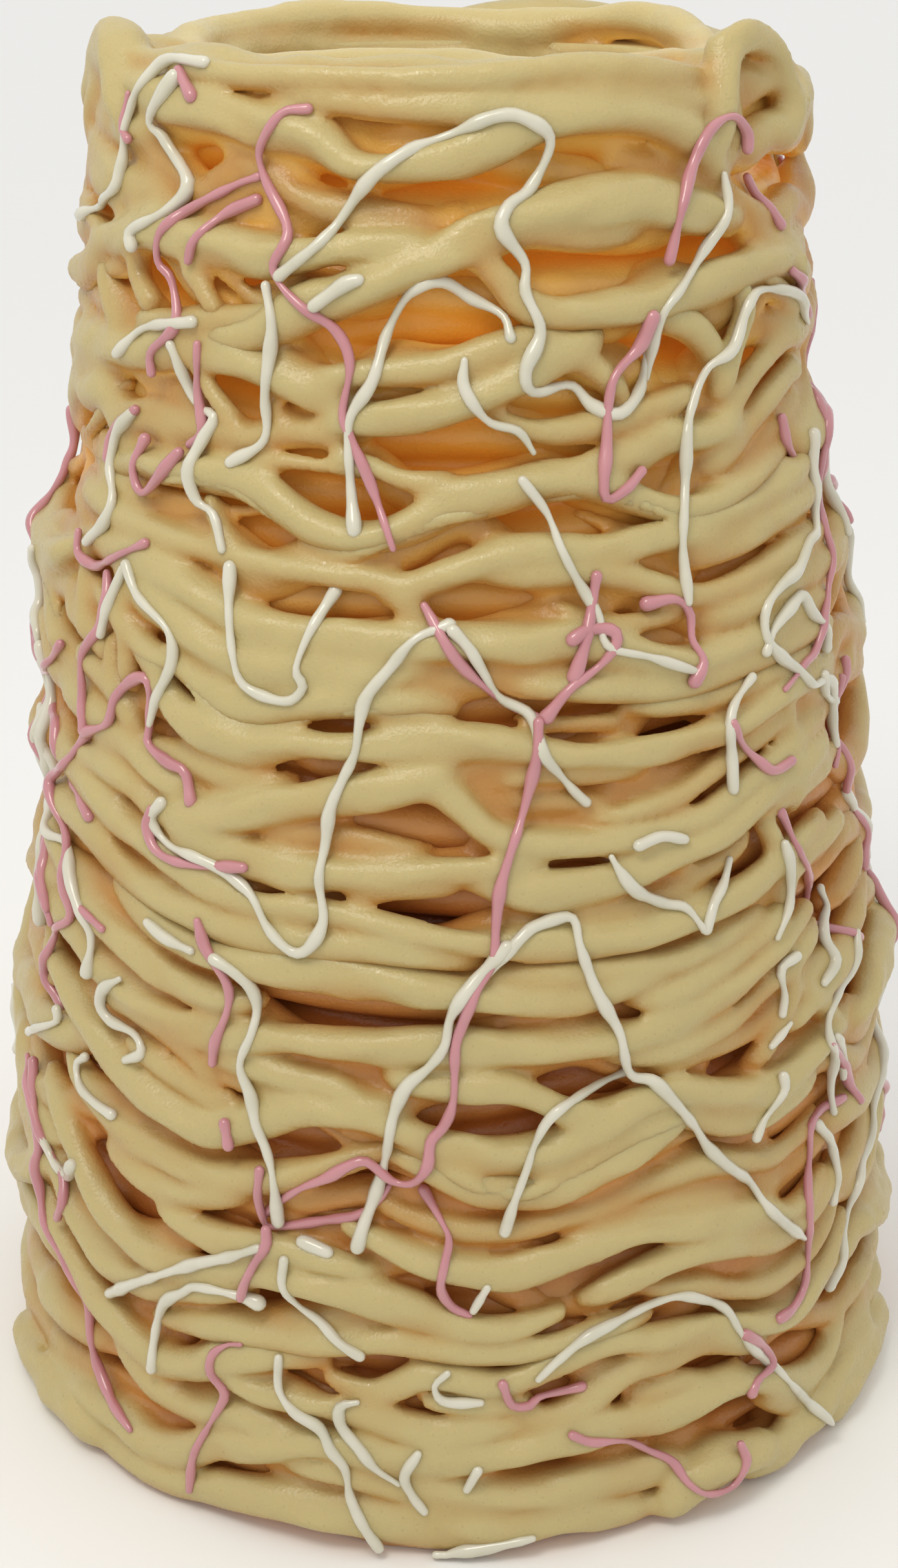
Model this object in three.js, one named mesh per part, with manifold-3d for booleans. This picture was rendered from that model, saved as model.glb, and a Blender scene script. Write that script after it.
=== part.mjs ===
// A spit cake: batter poured in threads over a cone that turns on a spit, so that the cake
// is a hollow, tapered tower of wavy rings that run together round lens-shaped gaps.
// Thin icing is drizzled over it. All of it has baked and set into one piece.
//
// Millimetres, +Z up, the middle of the foot at the origin, the side with the icing loops
// towards -Y. Angles are degrees round the tower from -Y, positive towards +X.
import * as THREE from "three";
import { LoftGeometry } from "three/addons/geometries/LoftGeometry.js";
import { mergeVertices } from "three/addons/utils/BufferGeometryUtils.js";
import Module from "manifold-3d";

const wasm = await Module();
wasm.setup();

// ---- Driving sizes ----

const HEIGHT = 300;
const BASE_RADIUS = 106;
const TOP_RADIUS = 72;
const FLARE = 1.8; // how late the taper sets in, going up
const BORE_BASE_RADIUS = 70; // the cone the batter was poured on
const BORE_TOP_RADIUS = 48;

const ROWS = 26; // rings of thread, one above the other
const BASE_THREAD = 3.9; // radius of a thread at the foot
const TOP_THREAD = 4.4;
const GROOVE = 6.5; // how deep the grooves and gaps go below the threads
const SWAY = 2.2; // how far a ring wanders inwards
const GAP_REACH = 27; // how far above and below a gap the rings give way
const GAP_SPREAD = 1.4; // a gap's push reaches this much further round than the gap
const NARROWEST = 12; // least half width of a push, so that the facets can follow it
const CLOSEST = 4.2; // least rise from one ring to the next

const COLUMNS = 32; // facets round the tower
const SEED = 20417;

const DRIZZLE_WIDTH = 2.4;
const DRIZZLE_HEIGHT = 1.7;
const DRIZZLE_STEP = 15; // length of a facet along an icing line
const STRAND_STEP = 12; // length of a facet along a crossing thread

// Gaps between the rings on the front: angle, height, half width in degrees, half height.
const FRONT_GAPS = [
  [-10, 285, 5, 1.8], [18, 281, 13, 4.4], [-40, 282, 4, 3.5], [-23, 279, 4, 1.4],
  [-4, 276, 6, 1], [19, 261, 12, 3], [42, 262, 7, 3], [-15, 263, 6, 1.2],
  [-33, 259, 8, 3.2], [-52, 257, 6, 3.5], [0, 255, 9, 4], [-17, 248, 7, 1.8],
  [34, 244, 6, 4], [-31, 239, 8, 4.6], [14, 237, 7, 2.2], [0, 232, 11, 3],
  [27, 226, 8, 3], [-17, 222, 9, 3], [14, 217, 8, 3], [-26, 212, 5, 3.6],
  [2, 211, 8, 3.6], [42, 206, 4, 2], [-17, 202, 10, 1.8], [24, 195, 6, 2],
  [-40, 186, 4, 3], [11, 181, 11, 2.4], [-30, 185, 4, 1.2], [-16, 176, 5, 2.4],
  [30, 171, 8, 2], [-40, 169, 5, 2.4], [-24, 165, 5, 1.4], [-5, 158, 11, 3],
  [30, 160, 9, 2.6], [42, 145, 5, 4.5], [-3, 144, 9, 2.6], [-22, 140, 5, 1.6],
  [-11, 121, 17, 2.6], [24, 118, 7, 2.6], [-29, 105, 5, 2.6], [15, 104, 7, 3],
  [38, 103, 6, 2.4], [4, 98, 7, 2.6], [-17, 92, 5, 1.6], [40, 90, 5, 1.8],
  [-46, 88, 6, 2.8], [-43, 70, 8, 3.2], [14, 62, 9, 3], [-29, 56, 6, 1.6],
  [2, 57, 4, 1.2], [-11, 43, 5, 2.4], [35, 35, 5, 1.6], [14, 34, 6, 2.2],
  [0, 32, 5, 1.8], [-33, 36, 5, 1.2], [-18, 26, 5, 1.2], [50, 25, 6, 3.4],
  [12, 18, 8, 2], [37, 17, 6, 2.8], [-22, 13, 9, 1.6],
];

// Threads that cross the rings: their turning points, as angle and height.
const FRONT_STRANDS = [
  [[-12, 256], [-2, 264], [9, 273], [20, 276]],
  [[16, 232], [23, 221], [30, 209], [35, 201]],
  [[-39, 180], [-31, 170], [-22, 170], [-14, 181]],
  [[-5, 93], [3, 84], [11, 81], [20, 86], [31, 100]],
  [[12, 44], [18, 53], [26, 66]],
  [[-24, 88], [-16, 97], [-6, 93]],
  [[46, 232], [51, 215], [49, 199], [54, 186]],
];
const SIDE_STRANDS = 4;

// Threads laid over the rim: angle outside, angle inside, how far they stand out and up.
const RIM_LOOPS = [
  [-83, -68, 2.6],
  [46, 60, 1.2],
  [82, 66, 2],
  [152, 138, 1.6],
];

// The thickest icing lines, as angle and height.
const DRIZZLES = [
  // Pink.
  [[-20, 291], [-27, 284], [-26, 279], [-20, 257], [-13, 247], [-13, 234], [-7, 214]],
  [[-27, 279], [-40, 271], [-44, 262], [-40, 251]],
  [[49, 283], [46, 288], [41, 286], [34, 274], [31, 264]],
  [[-3, 204], [10, 183], [8, 165], [5, 138], [0, 107], [-3, 93], [-10, 93], [-21, 78]],
  [[-58, 178], [-56, 165], [-58, 150], [-56, 134], [-64, 110]],
  // White.
  [[-23, 262], [-14, 275], [0, 287], [10, 290], [14, 286], [8, 272], [11, 243], [25, 239]],
  [[12, 232], [9, 250], [0, 262], [-8, 253], [-12, 234], [-13, 216]],
  [[50, 256], [42, 243], [34, 228], [32, 205], [32, 190]],
  [[1, 199], [-9, 192], [-12, 178], [-15, 158], [-14, 144], [-18, 134], [-27, 151]],
  [[-37, 133], [-24, 124], [-24, 110], [-20, 92], [-20, 76]],
  [[14, 143], [19, 122], [24, 107], [31, 92], [39, 78], [48, 66]],
  [[6, 137], [-1, 118], [-6, 100], [-11, 75]],
  [[10, 44], [20, 54], [27, 58], [35, 48], [46, 22], [52, 6]],
];
const SIDE_DRIZZLES = 4;
const FRONT_EDGE = 58; // the drizzles and strands above stay within this angle

// ---- Repeatable random numbers ----

function makeRandom(seed) {
  let state = seed;
  return () => {
    state = (state * 1664525 + 1013904223) % 4294967296;
    return state / 4294967296;
  };
}

// ---- The tower's form ----

const radians = THREE.MathUtils.degToRad;

/** The tower's radius over its threads at a height, with the waist below the top third. */
function outerRadius(z) {
  const taper = (BASE_RADIUS - TOP_RADIUS) * Math.pow(Math.min(Math.max(z, 0), HEIGHT) / HEIGHT, FLARE);
  const waist = 3.4 * Math.exp(-Math.pow((z - 228) / 24, 2));
  return BASE_RADIUS - taper - waist;
}

function boreRadius(z) {
  return BORE_BASE_RADIUS - ((BORE_BASE_RADIUS - BORE_TOP_RADIUS) * z) / HEIGHT;
}

function threadRadius(z) {
  return BASE_THREAD + ((TOP_THREAD - BASE_THREAD) * z) / HEIGHT;
}

/** A point of the tower from its angle in degrees, radius and height. */
function place(angle, radius, z) {
  return new THREE.Vector3(radius * Math.sin(radians(angle)), -radius * Math.cos(radians(angle)), z);
}

// ---- The rings ----

const random = makeRandom(SEED);

// Slow waves that all the rings share, so that they lie along each other.
const sharedWaves = [1, 2, 3, 5].map((count) => ({
  count,
  size: 2.2 / Math.sqrt(count),
  phase: 360 * random(),
  twist: 2.4 * (random() - 0.5), // degrees for each millimetre of height
}));

// Small waves of each ring's own, and its wander in and out.
const rings = Array.from({ length: ROWS }, () => ({
  waves: [4, 7].map((count) => ({ count, size: 2 / count, phase: 360 * random() })),
  sway: { count: 2 + Math.floor(3 * random()), phase: 360 * random() },
}));

/** The gaps: those on the front, and others by rule round the sides and the back. */
function allGaps() {
  const gaps = FRONT_GAPS.map((gap) => [...gap]);
  for (let z = 16; z < 288; z += 17) {
    for (let angle = 62; angle < 304; angle += 24) {
      const turn = angle + 18 * (random() - 0.5);
      gaps.push([turn, z + 9 * (random() - 0.5), 5 + 7 * random(), 1.2 + 3.2 * random()]);
    }
  }
  return gaps;
}
const gaps = allGaps();

/** The waves' effect is less at the foot and at the rim, where the rings lie level. */
function freedom(z) {
  return THREE.MathUtils.smoothstep(z, 4, 45) * (1 - 0.6 * THREE.MathUtils.smoothstep(z, 262, 292));
}

/** A ring's height before the gaps push it. */
function looseHeight(row, angle) {
  const foot = threadRadius(0) - 0.3;
  const z = foot + ((HEIGHT - 6.5 - foot) * row) / (ROWS - 1);
  let rise = 0;
  for (const { count, size, phase, twist } of sharedWaves) {
    rise += size * Math.sin(radians(count * angle + phase + twist * z));
  }
  for (const { count, size, phase } of rings[row].waves) {
    rise += size * Math.sin(radians(count * angle + phase));
  }
  return z + freedom(z) * rise;
}

const halfTurn = (angle) => ((((angle + 180) % 360) + 360) % 360) - 180;

/** Each gap's distance from each loose ring, at the gap's own angle. */
const gapOffsets = gaps.map(([angle, z]) => rings.map((_, row) => looseHeight(row, angle) - z));

/** The heights of all the rings at an angle: the gaps push them up and down. */
function ringHeights(angle) {
  const heights = rings.map((_, row) => looseHeight(row, angle));
  gaps.forEach(([gapAngle, gapZ, halfWidth, halfHeight], g) => {
    const across = halfTurn(angle - gapAngle) / Math.max(GAP_SPREAD * halfWidth, NARROWEST);
    if (Math.abs(across) >= 1) return;
    const swell = Math.pow(1 - across * across, 2);
    const open = (halfHeight + 0.85 * threadRadius(gapZ)) * swell;
    heights.forEach((_, row) => {
      const offset = gapOffsets[g][row];
      const share = 1 - Math.abs(offset) / GAP_REACH;
      if (share > 0) heights[row] += (offset < 0 ? -1 : 1) * open * share * freedom(heights[row]);
    });
  });
  heights[0] = threadRadius(0) - 0.3;
  for (let row = 1; row < ROWS; row++) {
    heights[row] = Math.max(heights[row], heights[row - 1] + CLOSEST);
  }
  for (let row = ROWS - 1; row > 0; row--) {
    const above = row === ROWS - 1 ? HEIGHT : heights[row + 1];
    heights[row] = Math.min(heights[row], above - CLOSEST);
  }
  return heights;
}

/** The rings' centres at an angle, as radius, height, thread radius and outward normal. */
function outerProfile(angle) {
  return ringHeights(angle).map((z, row) => {
    const { count, phase } = rings[row].sway;
    const sway = SWAY * (0.5 + 0.5 * Math.sin(radians(count * angle + phase)));
    const thick = threadRadius(z) * (1 + 0.1 * Math.sin(radians(5 * angle + 2 * phase)));
    return { r: outerRadius(z) - thick - sway, z, thick, out: [1, 0] };
  });
}

// The rings on top of the wall: radius, height below the top, and outward normal.
const RIM_RINGS = [
  { r: 59.5, drop: 7, out: [0, 1] },
  { r: 52.5, drop: 5, out: [-0.6, 0.8] },
];
// Heights in the bore where the threads show as low ridges, and below them the smooth cone.
const BORE_RIDGES = [284, 272];
const BORE_LINES = [262, 150, 0];

/** The rim's rings at an angle, from the outside in. */
function rimProfile(angle) {
  return RIM_RINGS.map(({ r, drop, out }, i) => {
    const wave = 1.6 * Math.sin(radians(3 * angle + 100 * i)) + 1.1 * Math.sin(radians(5 * angle + 70 + 130 * i));
    return { r: r + 0.6 * wave, z: HEIGHT - drop + wave * 0.8 - 1, thick: TOP_THREAD, out };
  });
}

/** The ridged part of the bore at an angle, going down. */
function boreProfile(angle) {
  return BORE_RIDGES.map((z, i) => {
    const wave = 2 * Math.sin(radians(2 * angle + 140 * i)) + Math.sin(radians(5 * angle + 60 * i));
    return { r: boreRadius(z) + 3.4, z: z + wave, thick: 4, out: [-1, 0] };
  });
}

/**
 * The closed section of the wall at an angle, as radius and height: three facets for each
 * thread, with a groove between it and the next that is deeper where they lie further apart.
 */
function wallSection(angle) {
  const threads = [...outerProfile(angle), ...rimProfile(angle), ...boreProfile(angle)];
  const section = [[outerRadius(0) - 3.4, 0]];
  threads.forEach(({ r, z, thick, out }, i) => {
    const [nr, nz] = out;
    const along = [-nz, nr];
    for (const side of [-0.5, 0.5]) {
      section.push([r + thick * (0.9 * nr + side * along[0]), z + thick * (0.9 * nz + side * along[1])]);
    }
    const next = threads[i + 1];
    if (!next) return;
    const [r0, z0] = section.at(-1);
    const turn = [-next.out[1], next.out[0]];
    const r1 = next.r + next.thick * (0.9 * next.out[0] - 0.5 * turn[0]);
    const z1 = next.z + next.thick * (0.9 * next.out[1] - 0.5 * turn[1]);
    const apart = Math.hypot(r1 - r0, z1 - z0);
    const depth = Math.min(i < ROWS - 1 ? GROOVE : 2.5, 0.25 + 0.95 * Math.max(0, apart - 0.4));
    const inward = [nr + next.out[0], nz + next.out[1]];
    const length = Math.hypot(...inward);
    section.push([
      (r0 + r1) / 2 - (depth * inward[0]) / length,
      (z0 + z1) / 2 - (depth * inward[1]) / length,
    ]);
  });
  for (const z of BORE_LINES) section.push([boreRadius(z), z]);
  return section;
}

// ---- Solids ----

/** A closed three.js geometry as a solid that can be joined and cut. */
function toSolid(geometry) {
  const bare = new THREE.BufferGeometry();
  bare.setAttribute("position", geometry.getAttribute("position"));
  bare.setIndex(geometry.index);
  const merged = mergeVertices(bare, 1e-4);
  const index = Array.from(merged.index.array);
  const triVerts = [];
  for (let i = 0; i < index.length; i += 3) {
    const [a, b, c] = index.slice(i, i + 3);
    if (a !== b && b !== c && a !== c) triVerts.push(a, b, c);
  }
  return new wasm.Manifold(
    new wasm.Mesh({
      numProp: 3,
      vertProperties: new Float32Array(merged.attributes.position.array),
      triVerts: new Uint32Array(triVerts),
    }),
  );
}

/** The wall with its rings: its sections joined all the way round. */
function makeWall() {
  const sections = Array.from({ length: COLUMNS }, (_, i) => {
    const angle = (-360 * i) / COLUMNS;
    return wallSection(angle).map(([r, z]) => place(angle, r, z));
  });
  sections.push(sections[0]);
  return toSolid(new LoftGeometry(sections, { closed: true }));
}

/** Points at even steps along a smooth line through angle and height pairs. */
function evenRoute(points, step) {
  const flat = points.map(([angle, z]) => {
    return new THREE.Vector3(radians(angle) * outerRadius(z), z, 0);
  });
  const line = new THREE.CatmullRomCurve3(flat, false, "centripetal");
  const count = Math.max(2, Math.round(line.getLength() / step));
  return line.getSpacedPoints(count).map(({ x, y }) => [
    THREE.MathUtils.radToDeg(x / outerRadius(y)),
    y,
  ]);
}

/** The radius of the wall's outside at an angle and height. */
function surfaceRadius(angle, z) {
  const section = wallSection(angle);
  let radius = 0;
  for (let i = 0; i < 3 * ROWS; i++) {
    const [r0, z0] = section[i];
    const [r1, z1] = section[i + 1];
    if (z < Math.min(z0, z1) || z > Math.max(z0, z1)) continue;
    const share = Math.abs(z1 - z0) < 1e-6 ? 0.5 : (z - z0) / (z1 - z0);
    radius = Math.max(radius, r0 + share * (r1 - r0));
  }
  return radius || outerRadius(z) - 4;
}

/** A line of points draped on the wall: it follows the crests and bridges the grooves. */
function drape(route, roll) {
  const bare = route.map(([angle, z]) => surfaceRadius(angle, z));
  const points = route.map(([angle, z]) => place(angle, outerRadius(z), z));
  const apart = (i, j) => points[i].distanceTo(points[j]);
  const raised = bare.map((_, i) =>
    Math.max(...bare.map((radius, j) => radius - apart(i, j) ** 2 / (2 * roll))),
  );
  return raised.map((_, i) =>
    Math.min(...raised.map((radius, j) => radius + apart(i, j) ** 2 / (2 * roll))),
  );
}

/** A closed rod along points: outline gives each corner's place out from and across it. */
function makeRod(points, normals, outline) {
  const last = points.length - 1;
  const sections = points.map((point, i) => {
    const along = points[Math.min(i + 1, last)].clone().sub(points[Math.max(i - 1, 0)]).normalize();
    const side = new THREE.Vector3().crossVectors(normals[i], along).normalize();
    const out = new THREE.Vector3().crossVectors(along, side).normalize();
    return outline(i, last).map(([o, s]) => point.clone().addScaledVector(out, o).addScaledVector(side, s));
  });
  return toSolid(new LoftGeometry(sections, { closed: true, capStart: true, capEnd: true }));
}

/** A thread's section, with its inner side wide so that it sits in what it lies on. */
function threadOutline(thick) {
  return () => [
    [-1.2 * thick, 0.9 * thick],
    [0.85 * thick, 0.55 * thick],
    [0.85 * thick, -0.55 * thick],
    [-1.2 * thick, -0.9 * thick],
  ];
}

/** A thread that runs across the rings. */
function makeStrand(points) {
  const route = evenRoute(points, STRAND_STEP);
  const radii = drape(route, 30);
  const thick = 0.85 * threadRadius(points[0][1]);
  return makeRod(
    route.map(([angle, z], i) => place(angle, radii[i] - 0.6 * thick, z)),
    route.map(([angle]) => place(angle, 1, 0)),
    threadOutline(thick),
  );
}

/** A thread laid over the rim, from the outside of the wall to the inside. */
function makeRimLoop([outside, inside, proud]) {
  const middle = (TOP_RADIUS + BORE_TOP_RADIUS) / 2;
  const half = (TOP_RADIUS - BORE_TOP_RADIUS) / 2 - 3;
  const low = HEIGHT - 17;
  const points = [];
  const normals = [];
  for (let i = 0; i <= 5; i++) {
    const turn = (Math.PI * (i - 0.4)) / 4.4;
    const angle = outside + ((inside - outside) * i) / 5;
    const r = middle + (half + proud) * Math.cos(turn);
    const z = low + (12.4 + 0.2 * proud) * Math.sin(turn);
    points.push(place(angle, r, z));
    normals.push(place(angle, Math.cos(turn), Math.sin(turn)));
  }
  return makeRod(points, normals, threadOutline(TOP_THREAD));
}

/** A line of icing, with three sides and its edge outwards. */
function makeDrizzle(points) {
  const route = evenRoute(points, DRIZZLE_STEP);
  const radii = drape(route, 16);
  const outline = (i, last) => {
    const share = i === 0 || i === last ? 0.6 : 1;
    return [
      [-0.9, 0.5 * DRIZZLE_WIDTH * share],
      [DRIZZLE_HEIGHT * share, 0],
      [-0.9, -0.5 * DRIZZLE_WIDTH * share],
    ];
  };
  return makeRod(
    route.map(([angle, z], i) => place(angle, radii[i], z)),
    route.map(([angle]) => place(angle, 1, 0)),
    outline,
  );
}

/** Threads that cross the rings at the sides and the back. */
function sideStrands() {
  return Array.from({ length: SIDE_STRANDS }, (_, i) => {
    const angle = FRONT_EDGE + 18 + ((360 - 2 * FRONT_EDGE - 36) * (i + random())) / SIDE_STRANDS;
    const z = 40 + 215 * random();
    const climb = (random() < 0.5 ? -1 : 1) * (12 + 10 * random());
    return [[angle - 12, z - climb], [angle - 4, z - 0.4 * climb], [angle + 4, z + 0.4 * climb], [angle + 12, z + climb]];
  });
}

/** Icing lines at the sides and the back, which run down and wander. */
function sideDrizzles() {
  return Array.from({ length: SIDE_DRIZZLES }, (_, i) => {
    let angle = FRONT_EDGE + 10 + ((360 - 2 * FRONT_EDGE - 20) * (i + 0.6 * random())) / SIDE_DRIZZLES;
    let z = 60 + 225 * random();
    const points = [[angle, z]];
    for (let step = 0; step < 4; step++) {
      angle += 13 * (random() - 0.5);
      z -= 6 + 13 * random();
      points.push([angle, Math.max(z, 5)]);
      if (z < 12) break;
    }
    return points;
  });
}

/** All solids joined into one, pair by pair. */
function joinAll(solids) {
  let left = solids;
  while (left.length > 1) {
    const pairs = [];
    for (let i = 0; i < left.length; i += 2) {
      pairs.push(i + 1 < left.length ? left[i].add(left[i + 1]) : left[i]);
    }
    left = pairs;
  }
  return left[0];
}

/** A solid as a three.js geometry with flat facets. */
function toGeometry(solid) {
  const mesh = solid.getMesh();
  const positions = new Float32Array(mesh.numVert * 3);
  for (let i = 0; i < mesh.numVert; i++) {
    positions.set(mesh.vertProperties.subarray(i * mesh.numProp, i * mesh.numProp + 3), 3 * i);
  }
  const geometry = new THREE.BufferGeometry();
  geometry.setAttribute("position", new THREE.BufferAttribute(positions, 3));
  geometry.setIndex(new THREE.BufferAttribute(new Uint32Array(mesh.triVerts), 1));
  geometry.computeVertexNormals();
  return geometry;
}

/** What lies below the foot, to be cut away. */
function belowFoot() {
  const size = 3 * BASE_RADIUS;
  return toSolid(new THREE.BoxGeometry(size, size, 40).translate(0, 0, -20));
}

// ---- The cake ----

const pieces = [
  makeWall(),
  ...[...FRONT_STRANDS, ...sideStrands()].map(makeStrand),
  ...RIM_LOOPS.map(makeRimLoop),
  ...[...DRIZZLES, ...sideDrizzles()].map(makeDrizzle),
];
const whole = joinAll(pieces).subtract(belowFoot());
const [cake] = whole.decompose().sort((a, b) => b.volume() - a.volume());

const batter = new THREE.MeshStandardMaterial({ color: 0xc9b686, roughness: 0.55, metalness: 0 });
const mesh = new THREE.Mesh(toGeometry(cake), batter);
mesh.name = "spit_cake";

const group = new THREE.Group();
group.add(mesh);

export default group;
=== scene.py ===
"""A spit cake: a hollow, tapered tower of baked batter threads with drizzled icing.

The tower's rings follow the CAD solid's rule. On the front, threads whose routes were read
from the photograph lie over them, and at the sides and the back sloping threads do, by rule.
Lengths are millimetres until a mesh is made, angles are degrees round the tower from -Y,
positive towards +X, and +Z is up. The side with the icing loops faces -Y.
"""

import logging
import math
from dataclasses import dataclass, field
from enum import Enum, IntEnum

import bpy
import numpy as np
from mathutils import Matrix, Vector
from mathutils.bvhtree import BVHTree

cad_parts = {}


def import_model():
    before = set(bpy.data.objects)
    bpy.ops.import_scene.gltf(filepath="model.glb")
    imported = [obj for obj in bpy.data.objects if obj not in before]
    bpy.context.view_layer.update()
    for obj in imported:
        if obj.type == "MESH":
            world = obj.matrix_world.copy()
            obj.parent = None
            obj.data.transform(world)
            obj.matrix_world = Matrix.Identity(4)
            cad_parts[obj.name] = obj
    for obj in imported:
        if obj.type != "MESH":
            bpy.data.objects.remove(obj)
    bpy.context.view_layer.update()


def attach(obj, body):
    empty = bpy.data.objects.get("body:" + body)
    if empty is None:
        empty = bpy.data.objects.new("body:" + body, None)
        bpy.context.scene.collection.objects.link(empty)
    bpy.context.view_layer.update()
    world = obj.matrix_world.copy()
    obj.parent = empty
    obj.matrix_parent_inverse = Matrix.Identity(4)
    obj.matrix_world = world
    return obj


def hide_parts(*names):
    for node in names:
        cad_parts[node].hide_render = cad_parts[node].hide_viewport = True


MM = 0.001
NODE = "spit_cake"
BODY = "root"
RING_SEED = 20417
GOLDEN = 0.618
# The point from which the photograph was taken, which is also where the camera stands.
VIEWPOINT = (0.0, -505.5, 334.6)
Route = list[tuple[float, float]]
Turns = list[tuple[float, float, float]]

log = logging.getLogger("spit_cake")


# ---- Numbers and places ----


class Draw:
    """Random numbers that come out the same each time."""

    def __init__(self, seed: int) -> None:
        """Starts the row of numbers at a seed."""
        self.state = seed

    def __call__(self) -> float:
        """The next number, from 0 up to 1."""
        self.state = (self.state * 1664525 + 1013904223) % 4294967296
        return self.state / 4294967296

    def between(self, low: float, high: float) -> float:
        """The next number, from low up to high."""
        return low + (high - low) * self()


def smoothstep(x: np.ndarray | float, low: float, high: float) -> np.ndarray:
    """A smooth step from 0 at low to 1 at high."""
    t = np.clip((np.asarray(x, float) - low) / (high - low), 0, 1)
    return t * t * (3 - 2 * t)


def half_turn(angle: np.ndarray | float) -> np.ndarray:
    """An angle brought between -180 and 180 degrees."""
    return (np.asarray(angle, float) + 180) % 360 - 180


def ease_round(values: np.ndarray, step: float, spread: float) -> np.ndarray:
    """Smooths rows of values that run right round the tower.

    Args:
        values: one row for each line, one column for each angle.
        step: degrees from one column to the next.
        spread: how far the smoothing reaches, in degrees.

    Returns:
        The smoothed rows.
    """
    reach = math.ceil(3 * spread / step)
    offsets = np.arange(-reach, reach + 1)
    weights = np.exp(-0.5 * (offsets * step / spread) ** 2)
    rolled = [weight * np.roll(values, int(by), axis=-1) for by, weight in zip(offsets, weights)]
    return sum(rolled) / weights.sum()


def place(angle: np.ndarray, radius: np.ndarray | float, z: np.ndarray | float) -> np.ndarray:
    """Points of the tower.

    Args:
        angle: degrees round the tower from -Y.
        radius: distance from the axis.
        z: height.

    Returns:
        An array of points, one a row.
    """
    turn = np.radians(angle)
    return np.stack(np.broadcast_arrays(radius * np.sin(turn), -radius * np.cos(turn), z), -1)


def along_line(points: np.ndarray) -> np.ndarray:
    """How far each point of a line lies along it from the first."""
    return np.concatenate([[0], np.cumsum(np.linalg.norm(np.diff(points, axis=0), axis=1))])


def smooth_line(points: np.ndarray, step: float) -> np.ndarray:
    """Points at even steps along a smooth line through others.

    Args:
        points: the points that the line goes through, one a row.
        step: the distance between the new points.

    Returns:
        The new points, one a row.
    """
    points = np.asarray(points, float)
    padded = np.vstack([2 * points[0] - points[1], points, 2 * points[-1] - points[-2]])
    t = np.linspace(0, 1, 24, endpoint=False)[:, None]
    pieces = []
    for a, b, c, d in zip(padded, padded[1:], padded[2:], padded[3:]):
        bend = (2 * a - 5 * b + 4 * c - d) * t**2 + (3 * b - a - 3 * c + d) * t**3
        pieces.append(0.5 * (2 * b + (c - a) * t + bend))
    line = np.vstack([*pieces, points[-1:]])
    length = along_line(line)
    at = np.linspace(0, length[-1], max(2, round(length[-1] / step)) + 1)
    return np.stack([np.interp(at, length, column) for column in line.T], -1)


# ---- The tower's form ----


@dataclass(frozen=True)
class TowerForm:
    """The tower's driving sizes, as the CAD solid has them.

    Attributes:
        base_radius: the radius over the threads at the foot.
        top_radius: the same at the rim.
        flare: above 1, the side is bowed and tapers most near the top.
        waist: how far the side is drawn in round waist_height, over waist_spread.
        bore_base_radius: the radius of the spit's cone at the foot.
        base_thread: a thread's own radius at the foot.
        top_thread: the same at the rim.
    """

    height: float = 300
    base_radius: float = 106
    top_radius: float = 72
    flare: float = 1.8
    waist: float = 3.4
    waist_height: float = 228
    waist_spread: float = 24
    bore_base_radius: float = 70
    bore_top_radius: float = 48
    base_thread: float = 3.9
    top_thread: float = 4.4

    def outer_radius(self, z: np.ndarray | float) -> np.ndarray:
        """The tower's radius over its threads at a height."""
        share = np.clip(z, 0, self.height) / self.height
        taper = (self.base_radius - self.top_radius) * share**self.flare
        dip = self.waist * np.exp(-(((np.asarray(z) - self.waist_height) / self.waist_spread) ** 2))
        return self.base_radius - taper - dip

    def bore_radius(self, z: np.ndarray | float) -> np.ndarray:
        """The radius of the cone that the batter was poured on."""
        slope = (self.bore_base_radius - self.bore_top_radius) / self.height
        return self.bore_base_radius - slope * np.asarray(z, float)

    def thread_radius(self, z: np.ndarray | float) -> np.ndarray:
        """A thread's own radius at a height."""
        return self.base_thread + (self.top_thread - self.base_thread) * np.asarray(z, float) / self.height

    def smooth_run(self, turns: list[tuple[float, ...]], step: float) -> np.ndarray:
        """A smooth line over the tower through turning points.

        Args:
            turns: the turning points: angle, height, and anything that varies along the line.
            step: the distance between the line's points.

        Returns:
            The line's points, one a row, with what each turning point has.
        """
        flat = np.array(turns, float)
        flat[:, 0] = np.radians(flat[:, 0]) * self.outer_radius(flat[:, 1])
        line = smooth_line(flat, step)
        line[:, 0] = np.degrees(line[:, 0] / self.outer_radius(line[:, 1]))
        return line


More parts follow.
